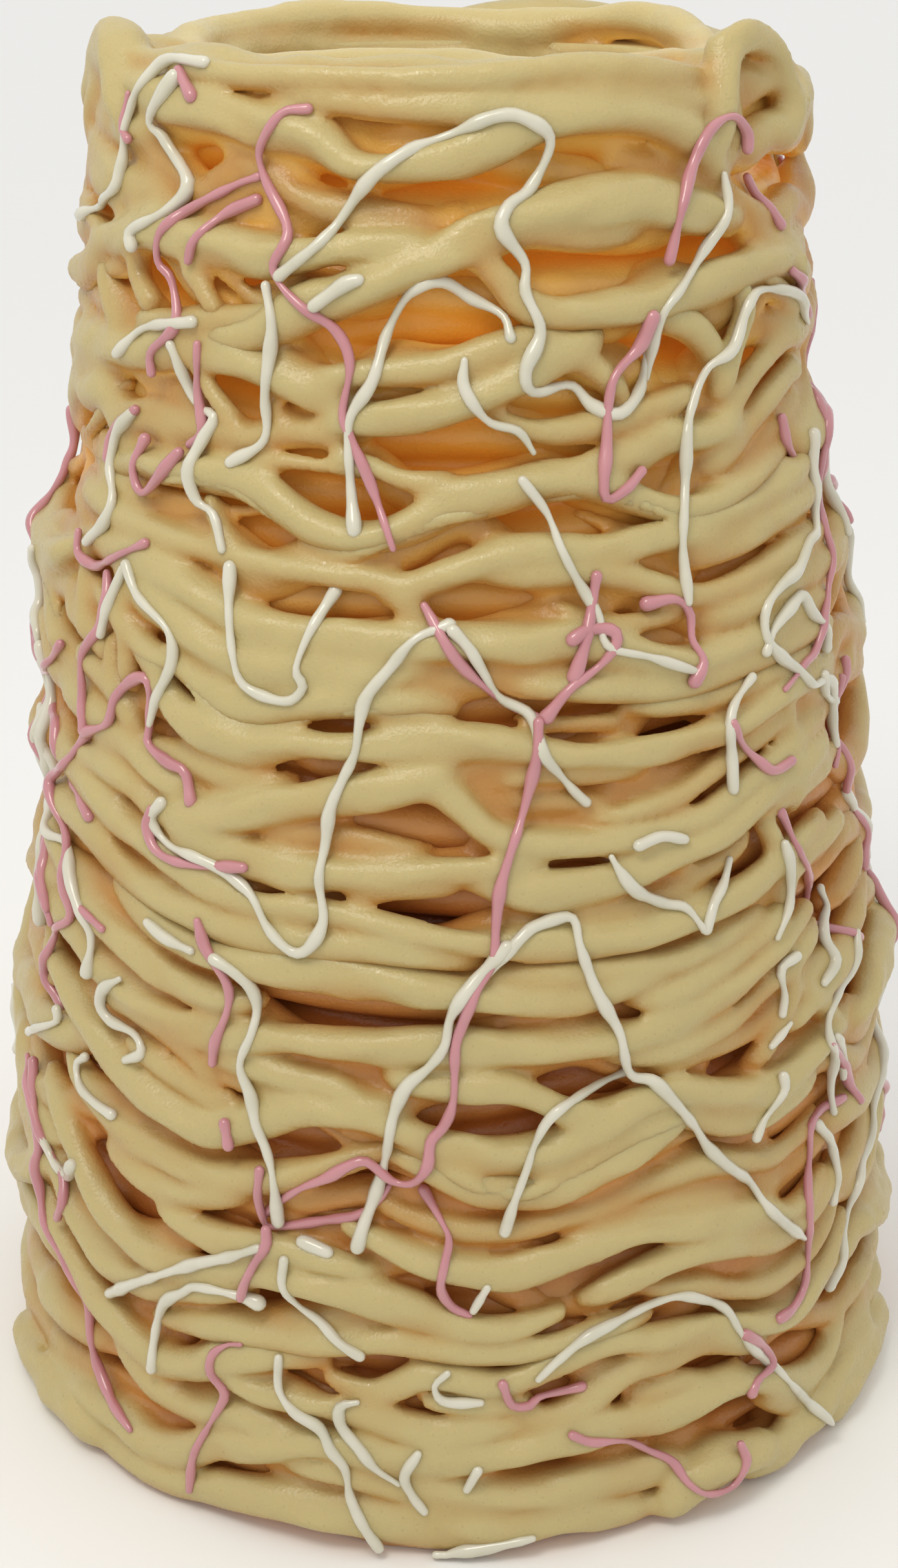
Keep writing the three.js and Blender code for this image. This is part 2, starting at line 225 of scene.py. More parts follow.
# Gaps between the rings on the front: angle, height, half width in degrees, half height.
FRONT_GAPS = [
    (-10, 285, 5, 1.8), (18, 281, 13, 4.4), (-40, 282, 4, 3.5), (-23, 279, 4, 1.4),
    (-4, 276, 6, 1), (19, 261, 12, 3), (42, 262, 7, 3), (-15, 263, 6, 1.2),
    (-33, 259, 8, 3.2), (-52, 257, 6, 3.5), (0, 255, 9, 4), (-17, 248, 7, 1.8),
    (34, 244, 6, 4), (-31, 239, 8, 4.6), (14, 237, 7, 2.2), (0, 232, 11, 3),
    (27, 226, 8, 3), (-17, 222, 9, 3), (14, 217, 8, 3), (-26, 212, 5, 3.6),
    (2, 211, 8, 3.6), (42, 206, 4, 2), (-17, 202, 10, 1.8), (24, 195, 6, 2),
    (-40, 186, 4, 3), (11, 181, 11, 2.4), (-30, 185, 4, 1.2), (-16, 176, 5, 2.4),
    (30, 171, 8, 2), (-40, 169, 5, 2.4), (-24, 165, 5, 1.4), (-5, 158, 11, 3),
    (30, 160, 9, 2.6), (42, 145, 5, 4.5), (-3, 144, 9, 2.6), (-22, 140, 5, 1.6),
    (-11, 121, 17, 2.6), (24, 118, 7, 2.6), (-29, 105, 5, 2.6), (15, 104, 7, 3),
    (38, 103, 6, 2.4), (4, 98, 7, 2.6), (-17, 92, 5, 1.6), (40, 90, 5, 1.8),
    (-46, 88, 6, 2.8), (-43, 70, 8, 3.2), (14, 62, 9, 3), (-29, 56, 6, 1.6),
    (2, 57, 4, 1.2), (-11, 43, 5, 2.4), (35, 35, 5, 1.6), (14, 34, 6, 2.2),
    (0, 32, 5, 1.8), (-33, 36, 5, 1.2), (-18, 26, 5, 1.2), (50, 25, 6, 3.4),
    (12, 18, 8, 2), (37, 17, 6, 2.8), (-22, 13, 9, 1.6),
]


@dataclass
class RingRule:
    """The rule that lays the rings: slow waves, small waves of their own, and gaps.

    Attributes:
        rim_drop: how far the top ring lies below the rim.
        sway: how far a ring goes in and out.
        gap_reach: how far above and below itself a gap pushes rings away.
        gap_spread: how much wider than the gap that push is.
        narrowest: the least half width of the push, in degrees.
        ease: how far the heights are smoothed, in degrees.
        shared: waves that all rings have: count in a turn, size, phase, and twist with height.
        own: each ring's own waves: count and phase.
        sways: each ring's way in and out: count and phase.
    """

    form: TowerForm
    draw: Draw
    rows: int = 26
    rim_drop: float = 6.5
    sway: float = 2.2
    gap_reach: float = 27
    gap_spread: float = 1.4
    narrowest: float = 9.0
    closest: float = 4.2
    ease: float = 2.4
    shared: list[tuple[int, float, float, float]] = field(init=False)
    own: list[list[tuple[int, float]]] = field(init=False)
    sways: list[tuple[int, float]] = field(init=False)
    gaps: list[tuple[float, float, float, float]] = field(init=False)

    def __post_init__(self) -> None:
        """Draws the waves and the gaps, in the order that the CAD source draws them."""
        draw = self.draw
        self.shared = []
        for count in (1, 2, 3, 5):
            phase = 360 * draw()
            self.shared.append((count, 2.2 / math.sqrt(count), phase, 2.4 * (draw() - 0.5)))
        self.own, self.sways = [], []
        for _ in range(self.rows):
            self.own.append([(count, 360 * draw()) for count in (4, 7)])
            self.sways.append((2 + math.floor(3 * draw()), 360 * draw()))
        self.gaps = list(FRONT_GAPS)
        for z in range(16, 288, 17):
            for angle in range(62, 304, 24):
                turn = angle + 18 * (draw() - 0.5)
                self.gaps.append((turn, z + 9 * (draw() - 0.5), 5 + 7 * draw(), 1.2 + 3.2 * draw()))

    def freedom(self, z: np.ndarray) -> np.ndarray:
        """How freely a ring waves: less at the foot and at the rim."""
        return smoothstep(z, 4, 45) * (1 - 0.6 * smoothstep(z, 262, 292))

    def loose_height(self, row: int, angle: np.ndarray | float) -> np.ndarray:
        """A ring's height before the gaps push it.

        Args:
            row: the ring, counted from the foot.
            angle: degrees round the tower.

        Returns:
            The height at each angle.
        """
        angle = np.asarray(angle, float)
        foot = float(self.form.thread_radius(0)) - 0.3
        z = foot + (self.form.height - self.rim_drop - foot) * row / (self.rows - 1)
        rise = np.zeros_like(angle)
        for count, size, phase, twist in self.shared:
            rise = rise + size * np.sin(np.radians(count * angle + phase + twist * z))
        for count, phase in self.own[row]:
            rise = rise + 2 / count * np.sin(np.radians(count * angle + phase))
        return z + self.freedom(z) * rise

    def heights(self, angle: np.ndarray) -> np.ndarray:
        """The heights of all the rings.

        Args:
            angle: degrees round the tower.

        Returns:
            An array with a row for each ring and a column for each angle.
        """
        z = np.stack([self.loose_height(row, angle) for row in range(self.rows)])
        for gap_angle, gap_z, half_width, half_height in self.gaps:
            across = half_turn(angle - gap_angle) / max(self.gap_spread * half_width, self.narrowest)
            swell = np.where(np.abs(across) < 1, (1 - across**2) ** 2, 0)
            opened = (half_height + 0.85 * self.form.thread_radius(gap_z)) * swell
            for row in range(self.rows):
                offset = float(self.loose_height(row, gap_angle)) - gap_z
                share = 1 - abs(offset) / self.gap_reach
                if share > 0:
                    z[row] += (-1 if offset < 0 else 1) * opened * share * self.freedom(z[row])
        z = ease_round(z, angle[1] - angle[0], self.ease)
        z[0] = self.form.thread_radius(0) - 0.3
        for row in range(1, self.rows):
            z[row] = np.maximum(z[row], z[row - 1] + self.closest)
        for row in range(self.rows - 1, 0, -1):
            above = z[row + 1] if row < self.rows - 1 else self.form.height
            z[row] = np.minimum(z[row], above - self.closest)
        return z

    def in_gap(self, angle: np.ndarray, z: np.ndarray, clear: float) -> np.ndarray:
        """Whether points lie in a gap or close to one.

        Args:
            angle: the points' degrees round the tower.
            z: their heights.
            clear: how near above or below a gap counts as close.

        Returns:
            True or false for each point.
        """
        inside = np.zeros(len(angle), bool)
        for gap_angle, gap_z, half_width, half_height in self.gaps:
            across = half_turn(angle - gap_angle) / (1.1 * half_width)
            up = (z - gap_z) / (half_height + clear)
            inside |= across**2 + up**2 < 1
        return inside

    def radii(self, row: int, angle: np.ndarray, z: np.ndarray) -> np.ndarray:
        """How far from the axis the middle of a ring's thread lies."""
        count, phase = self.sways[row]
        sway = self.sway * (0.5 + 0.5 * np.sin(np.radians(count * angle + phase)))
        return self.form.outer_radius(z) - self.form.thread_radius(z) - sway


# ---- Threads ----


class Family(IntEnum):
    """Threads of one family don't blend with each other, and those of two families do."""

    EVEN = 0
    ODD = 1
    FIRST = 2
    SECOND = 3
    THIRD = 4
    FOURTH = 5
    HIGH_RIDGE = 6
    LOW_RIDGE = 7


@dataclass
class Thread:
    """A thread's middle line.

    Attributes:
        points: its points in millimetres, one a row.
        thick: the thread's radius at each point.
        family: which threads it belongs with, or None until it is put in one.
        closed: whether it runs all the way round.
    """

    points: np.ndarray
    thick: np.ndarray
    family: Family | None = None
    closed: bool = False


def share_out(threads: list[Thread]) -> None:
    """Puts the threads that have no family in one each, so that near ones can blend.

    Args:
        threads: the threads. Each goes to the family whose members are furthest from it.
    """
    free = (Family.FIRST, Family.SECOND, Family.THIRD, Family.FOURTH)
    members: dict[Family, list[np.ndarray]] = {family: [] for family in free}
    for thread in threads:
        if thread.family is not None:
            continue
        sparse = thread.points[::3]
        apart = {}
        for family, others in members.items():
            steps = [np.linalg.norm(sparse[:, None] - other[None, :], axis=2) for other in others]
            apart[family] = min((step.min() for step in steps), default=math.inf)
        thread.family = max(apart, key=apart.get)
        members[thread.family].append(sparse)


# Threads of the front, read from the photograph: how far each lies below the tower's outside,
# then its turning points as angle, height and the thread's radius there.
FRONT_THREADS: list[tuple[float, Turns]] = [
    # Ropes that stand on the rim at the left and the right, and the arch beside them.
    (-0.4, [(-58, 284, 3.6), (-63, 292, 5), (-68, 297.5, 5.4), (-76, 298, 5), (-83, 292, 4.6),
            (-88, 284, 4)]),
    (0.0, [(43, 283, 3.8), (45.5, 290, 4), (47, 296, 4.2), (49, 300, 4)]),
    (-0.6, [(47, 300, 3.4), (54, 301, 3.4), (60, 298.5, 3.4), (65, 292, 3.6), (66, 286, 3.6),
            (62, 282, 3.4)]),
    (0.6, [(60, 283, 3.4), (68, 284, 3.8), (78, 288, 4), (88, 290, 3.6)]),
    # Lobes that stand out on the outline at the left and the right.
    (-1.0, [(-60, 203, 3), (-68, 198, 4.2), (-77, 194.6, 5), (-88, 195.6, 5), (-99, 200, 4)]),
    (-1.4, [(-62, 60, 3.4), (-72, 52, 4.4), (-82, 47, 5), (-92, 48, 4.6), (-100, 53, 4)]),
    (-1.8, [(62, 97, 3.4), (71, 101, 4.6), (81, 103, 5), (93, 100, 4.4)]),
    (-0.6, [(60, 258, 3.2), (70, 254, 4), (80, 252.6, 4.4), (92, 256, 4)]),
    (-1.2, [(64, 44, 3.6), (74, 38, 4.6), (84, 34, 4.8), (95, 36, 4)]),
    (-2.2, [(-76, 5, 4.2), (-66, 6, 5), (-56, 6.6, 5.2), (-47, 6, 4.6)]),
    (-2.4, [(54, 5, 4.2), (62, 6.6, 5), (71, 7, 4.8), (80, 6, 4)]),
    # The rim and the first ropes below it.
    (0.0, [(-48, 297, 3), (-40, 296.5, 2.6), (-30, 295.8, 2.4), (-20, 296.3, 2.2), (-10, 296.2, 2.3),
        (0, 296.5, 2.4), (10, 297, 2.8), (20, 297.5, 3.4), (30, 296.5, 3.2), (42, 295, 3)]),
    (0.5, [(-27, 291.5, 2), (-18, 292, 2.6), (-8, 291, 2.8), (2, 291, 3), (12, 291.5, 3.2),
        (22, 292.5, 3.4), (32, 291.5, 3.6), (44, 290, 4)]),
    (0.0, [(-62, 293, 3.4), (-52, 291, 4), (-42, 289.5, 4.4), (-33, 288, 4.5), (-25, 287, 4.5),
        (-19, 285.5, 4.2), (-14, 281.8, 3), (-9, 281, 2.8), (-3, 281.8, 3.3), (2, 283, 3.8),
        (7, 285.5, 4), (13, 288.5, 3.6), (20, 289.3, 3.2), (28, 289, 3.4), (35, 286.5, 3.6),
        (41, 282, 3.8), (44, 276, 4)]),
    (4.5, [(-66, 283, 4), (-54, 280, 4.4), (-46, 276, 4.2), (-38, 273, 3.6), (-28, 272, 3)]),
    (4.0, [(-36, 281.5, 3.4), (-30, 279, 4), (-24, 275.5, 4), (-18, 273, 4), (-10, 271.5, 3.6),
        (-1, 270, 3.2)]),
    (0.3, [(-60, 262, 3.6), (-51, 266, 4.4), (-42, 266, 4.7), (-34, 266, 4.4), (-27, 264.5, 4.3),
        (-20, 265.5, 3.2), (-12, 267.3, 2.7), (-4, 268, 3)]),
    (0.0, [(-36, 249, 3), (-28, 250.5, 3.6), (-20, 256, 4.4), (-14, 259, 4.3), (-8, 262, 4.2),
        (-2, 265.5, 4.4), (4, 269, 4.8), (11, 272, 5), (18, 273.6, 5.2), (25, 274, 5.4),
        (32, 272.6, 5), (39, 271, 4.6), (47, 269, 4)]),
    (2.0, [(12, 268.5, 2.5), (20, 268, 2.8), (28, 269, 2.5)]),
    (0.8, [(3, 266, 2.8), (7, 262, 3), (10, 257.5, 3.4), (15, 255, 3.9), (22, 255.3, 4), (29, 255.8, 4),
        (36, 257.3, 3.9), (44, 259, 3.7), (52, 260, 3.6), (62, 259.5, 3.4)]),
    (0.5, [(-19, 243, 2.4), (-12, 244.5, 2.9), (-6, 245.3, 3), (0, 246.5, 3.3), (6, 248.6, 3.6),
        (11, 250.5, 3.6), (16, 252, 3)]),
    (0.0, [(-17, 235.5, 3), (-11, 236.5, 3.2), (-5, 237.6, 3.6), (1, 239.6, 3.9), (6, 242, 4.2),
        (11, 245, 4.2), (16, 248.2, 3.6), (21, 250.5, 2.6)]),
    (1.2, [(13, 249, 3), (18, 246.8, 2.9), (22, 243.2, 2.5), (25, 238.5, 2.4)]),
    (0.6, [(-64, 242, 3.4), (-55, 242.4, 3.8), (-46, 244.6, 4), (-38, 246, 4), (-30, 245.4, 4),
        (-24, 243, 3.6), (-19, 240.4, 3.2), (-13, 239.5, 2.8)]),
    (1.6, [(-52, 249, 2.8), (-43, 250.4, 3), (-35, 252, 3.6), (-27, 252.4, 3.8), (-20, 254, 3.8)]),
    (0.6, [(-40, 262, 2.6), (-37, 258, 2.4), (-34, 253, 2.6)]),
    (3.4, [(-37, 262, 1.2), (-33, 259.5, 1.6), (-29, 256.5, 1.6), (-26, 256, 1)]),
    (1.5, [(-54, 263, 3), (-52, 257, 2.8), (-48, 252, 3)]),
    (1.5, [(-64, 258, 3), (-60, 251, 2.8), (-57, 245, 3)]),
    (1.6, [(-25, 247, 2.6), (-21, 243.6, 2.6), (-15, 241.5, 2.8)]),
    (1.2, [(-38, 243, 2), (-35, 238.5, 2.1), (-31, 233, 2.6)]),
    (2.0, [(-25, 239, 1.8), (-24, 234.5, 1.8)]),
    (2.2, [(-66, 233, 4), (-56, 230, 4), (-47, 230.4, 4), (-38, 229.6, 3.6), (-30, 230.6, 3),
        (-24, 232.6, 3.2), (-18, 233.2, 3.2), (-11, 234.6, 3)]),
    (1.4, [(-28, 226.5, 2.2), (-22, 227.6, 1.7), (-16, 227.2, 1.5), (-10, 226.6, 1.9)]),
    (0.8, [(-16, 229.6, 2), (-11, 228, 2.2), (-6, 225.5, 2.4), (0, 224.5, 3)]),
    (0.6, [(15, 225.6, 2.8), (20, 226, 3.6), (26, 228, 4), (32, 230.5, 4), (38, 230, 3.5), (46, 231, 3)]),
    (1.0, [(5, 238, 2.4), (10, 234.6, 2.7), (16, 233.8, 3.2), (23, 234.6, 3.4), (30, 236.4, 3.2),
        (37, 238, 3)]),
    (1.2, [(31, 253, 3.4), (36, 251, 3.4), (40, 246.5, 3), (42, 240, 3)]),
    (0.8, [(40, 228, 2.6), (44, 234, 2.8), (50, 240, 3), (57, 243.6, 3), (66, 244.4, 2.8)]),
    (1.0, [(38, 222.6, 3), (45, 227.4, 3.2), (53, 233.4, 3.4), (61, 237, 3.2), (70, 237.6, 3)]),
    (2.6, [(44, 221, 3), (54, 227, 3), (64, 231, 3), (72, 231, 3)]),
    (0.6, [(46, 258, 2.4), (47, 252, 2.6), (44, 244, 2.6), (41, 236, 2.6)]),
    (1.2, [(50, 259, 2.2), (56, 255, 2.6), (62, 250.5, 3), (70, 247, 3)]),
    # Below the waist.
    (0.2, [(-56, 219, 3.4), (-48, 222, 3.8), (-41, 222.5, 4.2), (-34, 223, 4.4), (-27, 222, 4),
        (-22, 218.8, 3.6), (-17, 215.4, 4), (-11, 214.6, 4.2), (-5, 217, 4.2), (1, 221, 4.3),
        (8, 223.4, 4.2), (14, 225, 3.9), (20, 223.6, 3.4), (26, 220, 3), (32, 217, 3), (38, 217, 3.2),
        (46, 219.4, 3.3), (56, 222, 3.2)]),
    (1.4, [(-35, 219, 2), (-33, 215, 2.2), (-30, 210, 2.8)]),
    (0.8, [(-70, 214.5, 3.4), (-58, 212, 3.4), (-47, 210.4, 3.4), (-38, 209.6, 3.2), (-30, 208.9, 3),
        (-21, 208, 2.8), (-13, 207.6, 2.8), (-7, 206.4, 3.2), (-5, 202.5, 3.6), (-3, 198, 3.6)]),
    (0.5, [(-8, 204.5, 3), (-4, 206.6, 3.2), (1, 209.4, 3.3), (7, 212, 3.4), (13, 212.4, 3.5),
        (20, 211.6, 3.4), (27, 212.4, 3.2), (35, 212.8, 3.2), (44, 214.6, 3.3), (54, 217.4, 3.2),
        (64, 219, 3)]),
    (0.8, [(3, 208.6, 2.4), (10, 208, 2.8), (17, 207.8, 3.2), (23, 206.2, 3.3), (29, 203, 3),
        (35, 200.4, 2.8), (44, 201.6, 3.2), (55, 204, 3.2), (66, 205, 3)]),
    (2.4, [(14, 201.6, 1.8), (20, 198, 2.2), (27, 197.4, 2), (33, 198.4, 1.8)]),
    (0.5, [(-62, 204, 3.4), (-52, 204.4, 3.8), (-44, 204, 4), (-36, 202, 4.4), (-29, 198.4, 4.4),
        (-22, 196, 4.2), (-14, 195.6, 4.2), (-6, 195.8, 4.4), (2, 196, 4.4), (9, 195.4, 4.2),
        (15, 195.8, 4), (21, 193.6, 3.6), (27, 190.4, 3.2), (34, 189, 3.2), (43, 190.4, 3.4),
        (54, 192, 3.2), (64, 191, 3)]),
    (0.5, [(-48, 199, 3), (-41, 197, 3.6), (-35, 194, 4.2), (-29, 190.6, 4.8), (-22, 188.8, 5),
        (-15, 188.6, 4.8), (-9, 190, 4), (-3, 191.4, 3.4)]),
    (3.4, [(-8, 188.6, 3), (0, 188.4, 3), (7, 189.4, 3), (14, 188.6, 3), (22, 187, 3)]),
    (1.0, [(32, 208.4, 3), (42, 208.8, 3.4), (52, 211.4, 3.4), (63, 213, 3)]),
    (1.2, [(34, 195, 3), (43, 196.6, 3.4), (54, 198.2, 3.4), (65, 198.4, 3)]),
    (0.8, [(-56, 196, 2.6), (-48, 192, 2.8), (-42, 188, 2.8), (-36, 186.4, 2.6), (-31, 182.6, 3.6),
        (-25, 180.6, 4), (-19, 182.4, 3.6), (-13, 184.4, 3.6), (-6, 184.8, 3.8), (0, 183.4, 3.4)]),
    (1.6, [(-38, 190.6, 2.2), (-34, 189.6, 2.2), (-28, 186.4, 2.6)]),
    (0.8, [(-59, 202, 2.6), (-57.5, 194, 2.4), (-55, 186, 2.6)]),
    (0.8, [(-49, 202, 2.4), (-47.5, 194, 2.2), (-46, 186, 2.6), (-45, 179, 2.6)]),
    (3.0, [(-64, 221, 4), (-56, 216, 4), (-46, 214.6, 3.4)]),
    # The middle.
    (0.2, [(-46, 190, 2.8), (-40, 184.4, 3.2), (-36.5, 178.6, 3.8), (-31, 175, 4.6), (-25, 174.6, 4.7),
        (-19.5, 176, 3.6), (-14, 176.3, 2.7), (-8, 176.4, 3.4), (-3, 177.6, 4), (3, 178, 3.6),
        (9, 176.6, 3.2), (15, 174.4, 2.8), (21, 173.4, 2.9), (28, 173.4, 3), (34, 174, 3.3),
        (40, 175, 3.2), (50, 178, 3.2), (62, 178, 3)]),
    (2.2, [(-13, 184, 2.6), (-6, 181.6, 3), (0, 179, 3.2)]),
    (0.4, [(8, 187.2, 2.6), (14, 187, 2.8), (20, 185.8, 3), (26, 184.6, 3.4), (33, 184.4, 3.4),
        (42, 186, 3.2), (54, 187, 3.2), (64, 185.6, 3)]),
    (2.8, [(9, 180.8, 2), (15, 179.6, 2), (22, 179, 2.4)]),
    (1.0, [(23, 181.4, 2.6), (30, 180.8, 3), (38, 180.6, 3), (47, 182.4, 3.2), (58, 182.8, 3)]),
    (0.0, [(-36, 157, 4), (-31, 158, 5), (-26, 160.6, 4.4), (-20, 164, 3.6), (-14, 166.4, 3.8),
        (-8, 168.6, 4.2), (-3, 170.6, 4.8), (0, 173, 4.4)]),
    (0.2, [(-6, 172.6, 4), (-1, 168.6, 4), (2, 164.4, 3.2), (4.4, 160.6, 2.8), (8, 157.8, 3),
        (13, 157, 3), (19, 156.4, 3.1), (26, 156.4, 3.2), (33, 158, 3.3), (39, 161.6, 3.2),
        (46, 165.4, 3), (55, 168, 3)]),
    (3.2, [(1, 171, 2), (5, 172.8, 2), (10, 172.2, 1.8)]),
    (2.0, [(6, 169.4, 1.6), (12, 170.4, 2.1), (19, 169.4, 2.4), (25, 170, 1.8)]),
    (3.2, [(7, 165.6, 2), (13, 164.6, 2.4), (20, 163, 2)]),
    (1.0, [(17, 160.8, 1.6), (23, 161.6, 2.4), (29, 162.8, 2.8), (35, 166.4, 2.8), (42, 170, 3),
        (51, 173.4, 3)]),
    (2.0, [(-44, 168, 3), (-37, 168.4, 3.2), (-31, 167, 3.4), (-25, 166.4, 3), (-20, 167.6, 2.4)]),
    (1.4, [(-62, 172, 3), (-54, 170.6, 3.4), (-46, 168.4, 3.2), (-39, 164, 3.4), (-33, 162, 3.2)]),
    (0.4, [(-37, 160, 3.6), (-35, 155, 4.2), (-30, 152.6, 4.2), (-23, 150.8, 4), (-16, 150.6, 4.2),
        (-9, 151.6, 4), (-2, 152.6, 3), (5, 153.4, 2.2), (11, 153.6, 1.4)]),
    (2.8, [(-24, 157, 2.6), (-17, 157.4, 2.8), (-10, 157.2, 2.6), (-3, 155.6, 2.4)]),
    (0.2, [(3, 149.6, 2.8), (8, 148.4, 4.2), (14, 148, 4), (20, 148.6, 3.4), (27, 151.2, 3.2),
        (34, 153, 3.2), (40, 156.6, 3.2), (48, 160.8, 3.2), (58, 163, 3)]),
    (1.4, [(-12, 147, 2.4), (-5, 148.4, 2), (1, 149.6, 2.4)]),
    (0.4, [(-66, 160, 3.4), (-57, 157.6, 3.8), (-49, 154, 4), (-42, 150.6, 3.8), (-35, 147.2, 3.4),
        (-29, 144, 3), (-23, 143, 2.5), (-17, 143.4, 3), (-12, 143.4, 2.6), (-7, 141.8, 2.6),
        (-2, 140, 2.4), (3, 138.2, 2.6), (9, 137.4, 3.2), (16, 136.8, 3.5), (24, 137, 3.6),
        (32, 138.2, 3.5), (39, 140.2, 3.2), (47, 144, 3), (56, 147, 3)]),
    (0.6, [(-64, 150, 3.4), (-54, 147.4, 3.6), (-46, 143, 3.6), (-39, 139.8, 3.8), (-32, 137.6, 3.9),
        (-25, 136.2, 3.8), (-18, 136.4, 3.8), (-11, 137, 4), (-4, 136, 3.8), (3, 134, 3.2)]),
    (2.8, [(12, 143.4, 1.8), (19, 142, 2.2), (26, 142.6, 2.2), (34, 145, 2.2)]),
    (2.6, [(28, 148, 2), (33, 146, 2.4), (38, 148, 2.6), (41, 151, 2)]),
    (0.8, [(43, 152.6, 2.6), (45, 146, 2.8), (47, 139, 2.8), (46, 132, 2.6)]),
    (1.0, [(44, 154.6, 2.8), (50, 156.6, 2.8), (58, 158, 3)]),
    (1.0, [(47, 138.6, 3), (53, 141.8, 3), (62, 144, 3)]),
    (1.2, [(48, 176, 3), (49, 168, 2.8), (48.6, 160, 2.8), (49, 152, 2.6)]),
    (1.0, [(-58, 182, 3), (-51, 179.6, 3.2), (-46, 175.6, 2.8), (-43, 170.6, 2.4)]),
    (1.2, [(-50, 188, 2.6), (-48, 180, 2.6), (-45, 173, 2.4)]),
    (1.0, [(-62, 190, 3.2), (-55, 187.4, 3.2), (-49, 184, 3)]),
    (0.6, [(-56, 162, 2.6), (-50, 161.6, 3), (-43, 159.6, 3), (-37, 155, 3)]),
    # Below the middle.
    (0.2, [(-46, 138, 3), (-38, 133.4, 3.4), (-31, 131, 3.6), (-24, 130.4, 4.2), (-17, 130.2, 4.6),
        (-10, 130, 4.6), (-3, 129.4, 4.2), (3, 127.4, 3.6), (9, 125.6, 3), (15, 125, 2.7),
        (21, 126.4, 2.4), (26, 127.8, 2.4)]),
    (0.8, [(4, 131.2, 2.4), (10, 130.6, 2.8), (16, 130.2, 3), (22, 130, 2.8), (28, 129.4, 2.8),
        (35, 131.2, 2.8), (42, 134, 2.6)]),
    (0.6, [(22, 122.6, 2.4), (28, 123, 3), (34, 125.4, 3.2), (41, 129, 3.2), (48, 133.4, 3)]),
    (0.4, [(-66, 142, 3.4), (-57, 136, 3.8), (-50, 130.4, 3.8), (-43, 125.8, 3.8), (-36, 122.8, 3.7),
        (-29, 121.4, 3.4), (-23, 122.4, 2.6)]),
    (0.4, [(-66, 128, 3.6), (-57, 124, 3.8), (-50, 120, 4), (-43, 116.2, 4), (-36, 113.8, 4),
        (-29, 113.2, 3.9), (-22, 115.2, 3.7), (-15, 116.4, 3.7), (-7, 116.4, 3.9), (1, 116.8, 3.9),
        (8, 116.2, 3.8), (15, 115.4, 3.4), (22, 115.6, 3.2), (29, 117.4, 3.2), (36, 120.4, 3),
        (43, 124.6, 3), (52, 129, 3)]),
    (1.0, [(18, 112.6, 2.4), (25, 110.4, 3), (32, 111.6, 3), (38, 114.4, 3), (45, 119, 3), (54, 124, 3)]),
    (3.0, [(10, 119, 2), (18, 118, 2.2), (27, 114.4, 2), (36, 116.6, 2)]),
    (1.4, [(-48, 113, 3), (-41, 112, 3.2), (-35, 109.4, 3.6), (-31, 106, 3), (-28.6, 101, 2.8)]),
    (0.5, [(-30, 108.6, 2.6), (-24, 108.6, 3.2), (-18, 107.6, 3.5), (-13, 106.6, 3.2), (-10, 104, 2.8),
        (-5, 103, 2.8)]),
    (0.5, [(-7, 110.2, 2.4), (-1, 108.6, 3.4), (5, 108.2, 3.4), (10, 105.4, 3), (14, 101.4, 3.2),
        (20, 98.6, 3.8)]),
    (0.2, [(-66, 116, 3.4), (-57, 110, 3.6), (-50, 103.8, 3.8), (-43, 98, 3.9), (-37, 94.4, 4.1),
        (-31, 92.8, 4.3), (-26, 94.4, 4.2), (-21, 98.4, 3.9), (-16, 101.6, 3.6), (-10, 101.6, 3.4),
        (-5, 98.8, 3.4), (0, 95.4, 3.8), (6, 93.4, 4.2), (12, 94, 4.6), (17, 97, 4.4),
        (22, 100.6, 3.6), (28, 102, 3.2), (33, 98.4, 3.8), (39, 95.2, 4), (46, 95, 3.8), (54, 98, 3.4),
        (63, 100, 3)]),
    (1.2, [(-43, 105, 3), (-37, 103, 3.3), (-31, 100, 3.2), (-26, 99, 2.6)]),
    (2.4, [(-29, 104.8, 2), (-24, 103.6, 2.4), (-19, 103.4, 2)]),
    (0.8, [(-56, 93, 3.2), (-50, 89, 3.4), (-44, 85, 3.5), (-37, 82.6, 3.6), (-30, 81.8, 3.6),
        (-24, 84, 3.4), (-17, 87.4, 3.3), (-12, 91, 2.8), (-7, 93.6, 2.6)]),
    (4.0, [(-50, 90.6, 1.8), (-45, 90, 2.2), (-40, 88.6, 2)]),
    (1.0, [(8, 89.4, 2.6), (15, 90.4, 3.2), (22, 94.6, 3.8), (27, 96.6, 3.4), (32, 92.6, 3.2),
        (38, 89, 3), (45, 89, 3), (53, 92, 3)]),
    (2.4, [(24, 107, 2), (31, 107.4, 2.2), (40, 108.6, 2.6), (48, 113, 2.8), (58, 117, 3)]),
    (1.4, [(40, 101, 2.6), (44, 107, 2.8), (47, 114, 2.8), (46, 123, 2.8)]),
    (1.0, [(50, 112, 3), (55, 104, 3), (60, 96, 2.8)]),
    (1.0, [(46, 105.6, 2.6), (54, 109.4, 2.8), (64, 112, 2.8)]),
    # Towards the foot.
    (0.2, [(-7, 94.4, 2.8), (-3, 91.8, 3.6), (1, 88.8, 4.3), (6, 85.8, 4.6), (12, 85.6, 4.6),
        (18, 88.4, 4.6), (24, 92.4, 4), (30, 97, 3.2)]),
    (1.6, [(9, 92.6, 2.4), (14, 93.4, 3.4), (19, 95.6, 3.4), (24, 99, 2.6)]),
    (0.8, [(-46, 79.8, 3.2), (-40, 76.4, 3.7), (-34, 75.6, 3.4), (-29, 78, 3), (-24, 80.4, 2.6)]),
    (0.4, [(-37, 71.4, 2.6), (-32, 69.2, 3.4), (-26, 68, 3.7), (-20, 69.4, 3.3), (-14, 69.2, 3.1),
        (-9, 66.8, 2.8)]),
    (0.2, [(-62, 84, 3.2), (-56, 77.4, 3.4), (-51, 70, 3.6), (-46, 63.4, 3.8), (-40, 59, 3.9),
